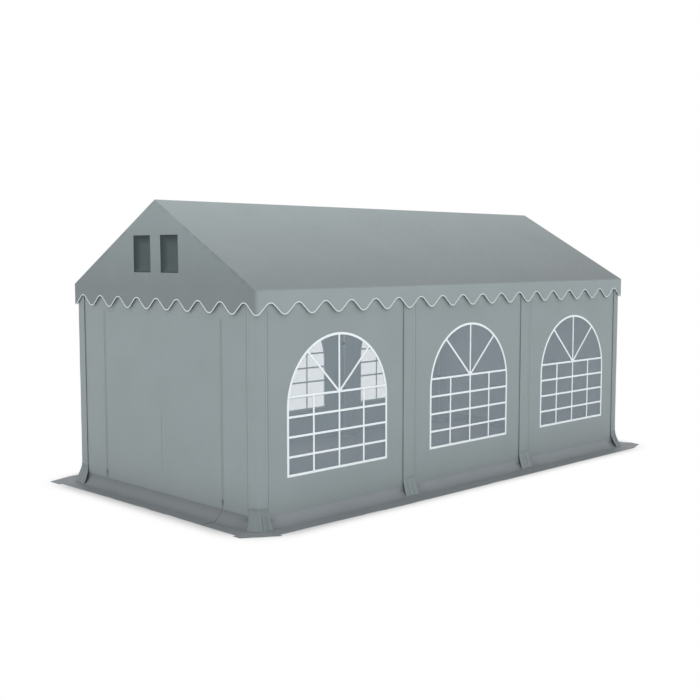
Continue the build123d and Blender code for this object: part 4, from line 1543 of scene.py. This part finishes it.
@dataclass
class PostCovers:
    """Cloth sleeves over the outer sides of the legs, and the boots that flare over the feet."""

    sizes: TentSizes
    finishes: Finishes
    side_wing: float = 0.094  # corner sleeve, from the leg's axis along the side wall
    end_wing: float = 0.110  # and along the end wall
    half: float = 0.090  # half the width of a middle sleeve
    columns: int = 72
    sleeve_rows: int = 80
    boot_rows: int = 30
    seam_columns: int = 19
    seam_span: Pair = (-0.022, 0.006)  # where those lie, from the seam
    sleeve_gap: float = 0.0005  # between the sleeves' places and their solids'
    boot_gap: float = 0.0015  # between the boots and the sleeves
    boot_low: float = 0.0030  # height of the boots' lower edges
    boot_top: float = 0.195
    boot_sag: float = 0.008  # of a middle boot's top edge
    boot_lip: float = 0.004  # how far a boot's top edge stands off
    lip_share: float = 0.12  # of the boot's height in which it does
    corner_rise: float = 0.020  # of a corner boot's top edge, at the bend
    corner_out: float = 0.082  # how far a corner boot flares
    post_out: float = 0.056  # how far a middle boot flares
    flare_even: float = 0.35  # share of the flare that comes evenly; the rest sweeps out near the ground
    flare_power: float = 1.9
    flare_girth: float = 0.6  # how much of the flare adds to a boot's flat height
    foot_spread: float = 0.006
    side_narrow: float = 0.018  # how far a corner boot's edge on the side wall draws in towards the ground
    end_narrow: float = 0.080  # and its edge on the end wall
    end_widen: float = 0.050  # how far that edge goes out instead, where the flap lies pulled out
    lip: float = 0.006  # how far a sleeve's hem stands off the wall
    lip_shares: Pair = (0.8, 0.4)  # how much of that is steady, and how much changes
    lip_size: float = 0.5  # of those slow changes, up the sleeve
    lip_near: Ramp = (0.06, 0.0)  # distances from the edge
    full: float = 0.0025  # how far a sleeve bulges over its leg
    full_size: Pair = (0.4, 0.35)
    full_near: Ramp = (0.01, 0.06)  # distances from the edge
    hem: float = 0.026  # from a sleeve's edge to its seam
    seam: float = 0.0030  # depth of the seam
    seam_width: float = 0.0022
    edge_painted_shade: float = -0.26  # painted shade at the cut edge, and painted highlight on the hem
    edge_near: Ramp = (0.011, 0.006)
    hem_painted_highlight: float = 0.08
    hem_from: Ramp = (0.009, 0.014)  # distances from the edge in which that starts
    hem_until: float = 0.022  # and where it stops being full, to end at the seam
    fold: float = 0.006  # depth of the boots' upright folds
    fold_size: Pair = (0.14, 1.4)  # as shares of the boot's width and height
    fold_down: Ramp = (0.0, 0.5)  # shares of the height
    fold_rim: Ramp = (0.0, 0.1)  # shares of the width
    pleat: float = 0.009  # depth of the pleats that gather a boot
    pleat_width: float = 0.020  # as a share of the boot's width
    pleat_lean: float = 0.03  # how far a pleat leans over, as a share of the width
    pleat_down: Ramp = (0.10, 0.55)  # shares of the height
    corner_pleats: tuple[float, ...] = (0.13, 0.24, 0.35)
    post_pleats: tuple[float, ...] = (0.30, 0.62)
    post_tone: float = 1.20  # the middle boots are lighter than the corner ones
    foot_dim: float = 0.07  # how much darker the boots are at the ground

    def __post_init__(self) -> None:
        """Read the sleeves' places from the frame."""
        low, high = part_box("post_sleeves")
        self.low, self.top = low.z, high.z
        self.out = high.x - self.sizes.cloth_t / 2 - self.sizes.leg_x

    def corner(self, reach: np.ndarray, on_side: np.ndarray, on_end: np.ndarray,
               share: np.ndarray) -> tuple[np.ndarray, np.ndarray]:
        """Path round a corner leg: straight, a quarter circle about the leg's axis, straight.

        Args:
            reach: distance of the cloth from the leg's axis.
            on_side, on_end: length of each wing from the leg's axis.
            share: place along the path, 0 on the side wall to 1 on the end wall.

        Returns:
            Distance out from the leg's axis towards the side, and towards the end.
        """
        arc = reach * math.pi / 2
        at = share * (on_side + on_end + arc)
        turn = np.clip((at - on_side) / reach, 0, math.pi / 2)
        before = np.maximum(on_side - at, 0)
        after = np.maximum(at - on_side - arc, 0)
        return reach * np.cos(turn) - after, reach * np.sin(turn) - before

    def span(self, end: float | None) -> float:
        """Width of a middle leg's cover, or of a corner leg's round its bend."""
        return 2 * self.half if end is None else self.side_wing + self.end_wing + math.pi / 2 * self.out

    def flare(self, down: np.ndarray | float, end: float | None) -> np.ndarray | float:
        """How far a boot stands out below its top: nearly upright, then a sweep to the ground."""
        shape = self.flare_even * down + (1 - self.flare_even) * down ** self.flare_power
        return (self.post_out if end is None else self.corner_out) * shape

    def hang(self, name: str, points: tuple[np.ndarray, ...], side: float, end: float | None, row: float,
             tone: np.ndarray) -> Sheet:
        """Lay a cover round its leg.

        Args:
            name: name of the piece.
            points: shares across it, heights, distances from the leg's axis, and what is added to half its
                width, its wing on the side wall and its wing on the end wall.
            side: -1 for left, 1 for right.
            end: -1 for a front corner, 1 for a rear one, None for a middle leg.
            row: the leg's place along the tent.
            tone: how light the dye is at each point.

        Returns:
            The sheet.
        """
        s = self.sizes
        share, height, stand, spread, on_side, on_end = points
        if end is None:
            along = row + (2 * share - 1) * (self.half + spread)
            places = join(side * (s.leg_x + stand), along, height)
        else:
            x, y = self.corner(stand, self.side_wing + on_side, self.end_wing + on_end, share)
            places = join(side * (s.leg_x + x), end * (abs(row) + y), height)
        sheet = Sheet(name, s.cloth_t)
        sheet.grid(places, join(share * self.span(end), height + 0 * share), tone)
        return sheet

    def sleeve(self, name: str, side: float, end: float | None, row: float, node: str) -> None:
        """Make one sleeve, with a seam near each edge.

        Args:
            name: name of the piece.
            side: -1 for left, 1 for right.
            end: -1 for a front corner, 1 for a rear one, None for a middle leg.
            row: the leg's place along the tent.
            node: solid that it replaces.
        """
        span = self.span(end)
        at_seam = (self.hem + np.linspace(*self.seam_span, self.seam_columns)) / span
        even = np.linspace(0, 1, self.columns + 1)
        share = np.unique(np.concatenate([even, at_seam, 1 - at_seam]))[None]
        down = np.linspace(0, 1, self.sleeve_rows + 1)[:, None]
        height = self.top + (self.low - self.top) * down
        seed = 3.0 * side + row
        edge = np.minimum(share, 1 - share) * span
        steady, changing = self.lip_shares
        loose = self.lip * smooth(edge, *self.lip_near)
        loose = loose * (steady + changing * drift(share, height, 1.0, self.lip_size, seed))
        sewn = self.seam * np.exp(-((edge - self.hem) / self.seam_width) ** 2)
        full = self.full * smooth(edge, *self.full_near)
        full = full * (1 + drift(share, height, *self.full_size, seed + 2))
        stand = self.out + self.sleeve_gap + loose + full - sewn
        # painted shade along the edge, painted highlight on the hem
        tone = 1.0 + self.edge_painted_shade * smooth(edge, *self.edge_near) + 0 * down
        lit_hem = smooth(edge, *self.hem_from) * smooth(edge, self.hem, self.hem_until)
        tone = tone + self.hem_painted_highlight * lit_hem
        still = 0 * down
        sheet = self.hang(name, (share, height, stand, still, still, still), side, end, row, tone)
        piece = dress(sheet, [self.finishes.wall], [node])

    def boot(self, name: str, side: float, end: float | None, row: float, node: str) -> None:
        """Make one boot, gathered by pleats and flaring to the ground.

        Args:
            name: name of the piece.
            side: -1 for left, 1 for right.
            end: -1 for a front corner, 1 for a rear one, None for a middle leg.
            row: the leg's place along the tent.
            node: solid that it replaces.
        """
        share = np.linspace(0, 1, self.columns + 1)[None]
        down = np.linspace(0, 1, self.boot_rows + 1)[:, None]
        bow = 1 - (2 * share - 1) ** 2
        brim = self.boot_top - (self.boot_sag * bow if end is None else self.corner_rise * (1 - bow))
        height = brim + (self.boot_low - brim) * down
        rim = np.minimum(share, 1 - share)
        deep = self.fold * smooth(down, *self.fold_down) * smooth(rim, *self.fold_rim)
        stand = self.out + self.sizes.cloth_t + self.boot_gap + self.flare(down, end)
        stand = stand + deep * drift(share, down, *self.fold_size, 3.0 * side + row)
        stand = stand + self.boot_lip * smooth(down, self.lip_share, 0.0)
        for at in self.post_pleats if end is None else self.corner_pleats:
            drawn_in = np.exp(-((share - at - self.pleat_lean * down) / self.pleat_width) ** 2)
            stand = stand - self.pleat * drawn_in * smooth(down, *self.pleat_down)
        on_end = (self.end_widen if side == end else -self.end_narrow) * down
        tone = (self.post_tone if end is None else 1.0) - self.foot_dim * down + 0 * share
        edges = (self.foot_spread * down ** 2, -self.side_narrow * down, on_end)
        sheet = self.hang(name, (share, height, stand, *edges), side, end, row, tone)
        piece = dress(sheet, [self.finishes.boot], [node])

    def build(self) -> None:
        """Make the sleeves and boots of all eight legs."""
        last = len(self.sizes.leg_rows)
        for side, sign in SIDES.items():
            for leg, row in enumerate(self.sizes.leg_rows, start=1):
                end = {1: ENDS["front"], last: ENDS["rear"]}.get(leg)
                kind = "post" if end is None else "corner"
                self.sleeve(f"{kind}_sleeve_{side}_{leg}", sign, end, row, f"{kind}_sleeves")
                self.boot(f"{kind}_boot_{side}_{leg}", sign, end, row, f"{kind}_boots")


@dataclass
class HangingStraps:
    """Webbing loops that tie the walls to the tubes."""

    sizes: TentSizes
    finishes: Finishes
    width: float = 0.030
    radius: float = 0.0205
    thickness: float = 0.0018
    columns: int = 24
    width_step: float = 0.01
    per_bay: int = 3
    per_tie: int = 5
    leg_heights: tuple[float, ...] = (0.650, 1.250)

    def loop(self, sheet: Sheet, middle: Sequence[float], axis: int) -> None:
        """Add one loop round a tube.

        Args:
            sheet: sheet to add to.
            middle: middle of the loop.
            axis: 0, 1 or 2 for a tube that runs along X, Y or Z.
        """
        turns = np.linspace(0, 2 * math.pi, self.columns + 1)[:-1]
        wide = stretch(-self.width / 2, self.width / 2, self.width_step)[:, None]
        one, two = [i for i in range(3) if i != axis]
        points = np.zeros((len(wide), len(turns), 3))
        points[..., axis] = wide
        points[..., one] = self.radius * np.cos(turns)
        points[..., two] = self.radius * np.sin(turns)
        sheet.grid(points + np.asarray(middle), join(turns * self.radius, wide), around=True)

    def build(self) -> None:
        """Make all the loops as one set."""
        s = self.sizes
        tubes = [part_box(node) for node in ("eave_purlins", "gable_ties")]
        eave_z, tie_z = [(low.z + high.z) / 2 for low, high in tubes]
        straps = Sheet("webbing_loops", self.thickness)
        for sign in SIDES.values():
            for front, rear in zip(s.leg_rows, s.leg_rows[1:]):
                for i in range(1, self.per_bay + 1):
                    along = front + (rear - front) * i / (self.per_bay + 1)
                    self.loop(straps, (sign * s.leg_x, along, eave_z), 1)
            for row in s.leg_rows:
                for height in self.leg_heights:
                    self.loop(straps, (sign * s.leg_x, row, height), 2)
        for row in (s.leg_rows[0], s.leg_rows[-1]):
            for i in range(1, self.per_tie + 1):
                self.loop(straps, (s.leg_x * (2 * i / (self.per_tie + 1) - 1), row, tie_z), 0)
        dress(straps, [self.finishes.webbing], ["hanging_straps"])


@dataclass
class SteelFrame:
    """The tubes, sockets, feet, screws and zip metal, which keep their own shapes."""

    finishes: Finishes

    def build(self) -> None:
        """Give each kept node its finish."""
        f = self.finishes
        by_slot = {"galvanised_steel": f.tube, "welded_socket_steel": f.socket, "screw_plastic": f.knob,
                   "zip_metal": f.zip_metal}
        for part in frame["record"]["subparts"]:
            material = by_slot.get(part["material_slot"])
            if material is None:
                continue
            for slot in frame["nodes"][part["node"]].material_slots:
                slot.material = material
            LOG.info("%s keeps its shape", part["node"])


# Studio

@dataclass
class Studio:
    """White floor and backdrop, soft light from all round and above, and the camera."""

    eye: tuple[float, float, float] = (8.540, -8.880, 2.443)
    azimuth: float = 45.04  # degrees left of the +Y direction
    pitch: float = 5.205  # degrees below level
    focal: float = 1055.5  # in pixels
    picture: float = 700.0  # width of the picture in pixels
    sensor: float = 36.0
    floor_half: float = 60.0
    dome: float = 0.90  # light from all round
    top_power: float = 140.0
    top_size: Pair = (7.0, 10.0)
    top_at: tuple[float, float, float] = (2.0, -2.0, 8.0)
    top_aim: tuple[float, float, float] = (0.0, 0.0, 1.5)
    contact: float = 0.45  # how near the walls the floor is shaded
    contact_span: Pair = (0.84, 0.97)  # the floor's openness where its shade is full and ends
    contact_dark: float = 0.50  # light that is left where it is full
    contact_samples: int = 16
    floor_pale: float = 0.90
    floor_dim: float = 0.32  # under the tent, where the ground is in the dark
    tucked: float = 0.150  # from the skirts' outer edge in to the ground that the tent covers

    def camera(self) -> None:
        """Set up the camera."""
        data = bpy.data.cameras.new("camera")
        data.sensor_width = self.sensor
        data.lens = self.focal / self.picture * self.sensor
        camera = bpy.data.objects.new("camera", data)
        turn, dip = math.radians(self.azimuth), math.radians(self.pitch)
        look = Vector((-math.sin(turn) * math.cos(dip), math.cos(turn) * math.cos(dip), -math.sin(dip)))
        camera.location = self.eye
        camera.rotation_euler = look.to_track_quat("-Z", "Y").to_euler()
        bpy.context.scene.collection.objects.link(camera)
        bpy.context.scene.camera = camera

    def white_rays(self, tree: Tree) -> Socket:
        """Tell rays that show the backdrop, seen, mirrored or let through, from those that light the tent.

        Args:
            tree: node tree to add to.

        Returns:
            Socket that is 1 for rays that show it.
        """
        rays = add(tree, "LightPath").node.outputs
        shown = add(tree, "Math", {0: rays["Is Camera Ray"], 1: rays["Is Glossy Ray"]}, operation="MAXIMUM")
        return add(tree, "Math", {0: shown, 1: rays["Is Transmission Ray"]}, operation="MAXIMUM")

    def world(self) -> None:
        """Light from all round, white where it is seen."""
        world = bpy.data.worlds.new("studio")
        bpy.context.scene.world = world
        world.use_nodes = True
        tree = world.node_tree
        strength = add(tree, "MapRange", {"Value": self.white_rays(tree), TO_LOW: self.dome})
        feed(tree.nodes["Background"], {"Strength": strength, "Color": (1, 1, 1, 1)})

    def floor(self) -> None:
        """White floor, with the tent's shadow where it meets the ground."""
        half = self.floor_half
        mesh = bpy.data.meshes.new("floor")
        corners = [(-half, -half, 0), (half, -half, 0), (half, half, 0), (-half, half, 0)]
        mesh.from_pydata(corners, [], [(0, 1, 2, 3)])
        floor = bpy.data.objects.new("floor", mesh)
        bpy.context.scene.collection.objects.link(floor)
        material = bpy.data.materials.new("white floor")
        material.use_nodes = True
        tree = material.node_tree
        tree.nodes.remove(tree.nodes["Principled BSDF"])
        shaded = add(tree, "AmbientOcclusion", {"Distance": self.contact}, "AO",
                     samples=self.contact_samples)
        light = add(tree, "MapRange", {"Value": shaded, FROM_LOW: self.contact_span[0],
                                                 FROM_HIGH: self.contact_span[1], TO_LOW: self.contact_dark})
        white = add(tree, "Emission", {"Strength": light})
        place = add(tree, "TexCoord", out="Object")
        apart = add(tree, "SeparateXYZ", {0: place}).node.outputs
        under = []
        for axis, edge in (("X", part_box("side_skirts")[1].x), ("Y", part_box("end_skirts")[1].y)):
            away = add(tree, "Math", {0: apart[axis]}, operation="ABSOLUTE")
            under.append(add(tree, "Math", {0: away, 1: edge - self.tucked}, operation="LESS_THAN"))
        indoors = add(tree, "Math", {0: under[0], 1: under[1]}, operation="MULTIPLY")
        outdoors = add(tree, "Math", {0: 1.0, 1: indoors}, operation="SUBTRACT")
        pale = add(tree, "MapRange", {"Value": indoors, TO_LOW: self.floor_pale, TO_HIGH: self.floor_dim})
        matt = add(tree, "BsdfDiffuse", {"Color": pale})
        shown = add(tree, "Math", {0: self.white_rays(tree), 1: outdoors}, operation="MULTIPLY")
        mixed = add(tree, "MixShader", {0: shown, 1: matt, 2: white})
        feed(tree.nodes["Material Output"], {"Surface": mixed})
        mesh.materials.append(material)

    def lamp(self) -> None:
        """Large soft lamp above the tent."""
        data = bpy.data.lights.new("softbox", "AREA")
        data.shape = "RECTANGLE"
        data.size, data.size_y = self.top_size
        data.energy = self.top_power
        lamp = bpy.data.objects.new("softbox", data)
        lamp.location = self.top_at
        aim = Vector(self.top_aim) - Vector(self.top_at)
        lamp.rotation_euler = aim.to_track_quat("-Z", "Y").to_euler()
        bpy.context.scene.collection.objects.link(lamp)

    def build(self) -> None:
        """Set up the whole studio."""
        bpy.context.scene.view_settings.view_transform = "Standard"
        self.camera()
        self.world()
        self.floor()
        self.lamp()


def main() -> None:
    """Build the tent's looks around its frame."""
    logging.basicConfig(level=logging.INFO, format="%(name)s %(message)s")
    sizes, finishes = TentSizes.read(), Finishes()
    Studio().build()
    SteelFrame(finishes).build()
    RoofCover(sizes, finishes).build()
    for side in SIDES:
        SideWall(side, sizes, finishes).build()
    for end in ENDS:
        EndWall(end, sizes, finishes).build()
    GroundSkirts(sizes, finishes).build()
    PostCovers(sizes, finishes).build()
    HangingStraps(sizes, finishes).build()


if __name__ == "__main__":
    main()
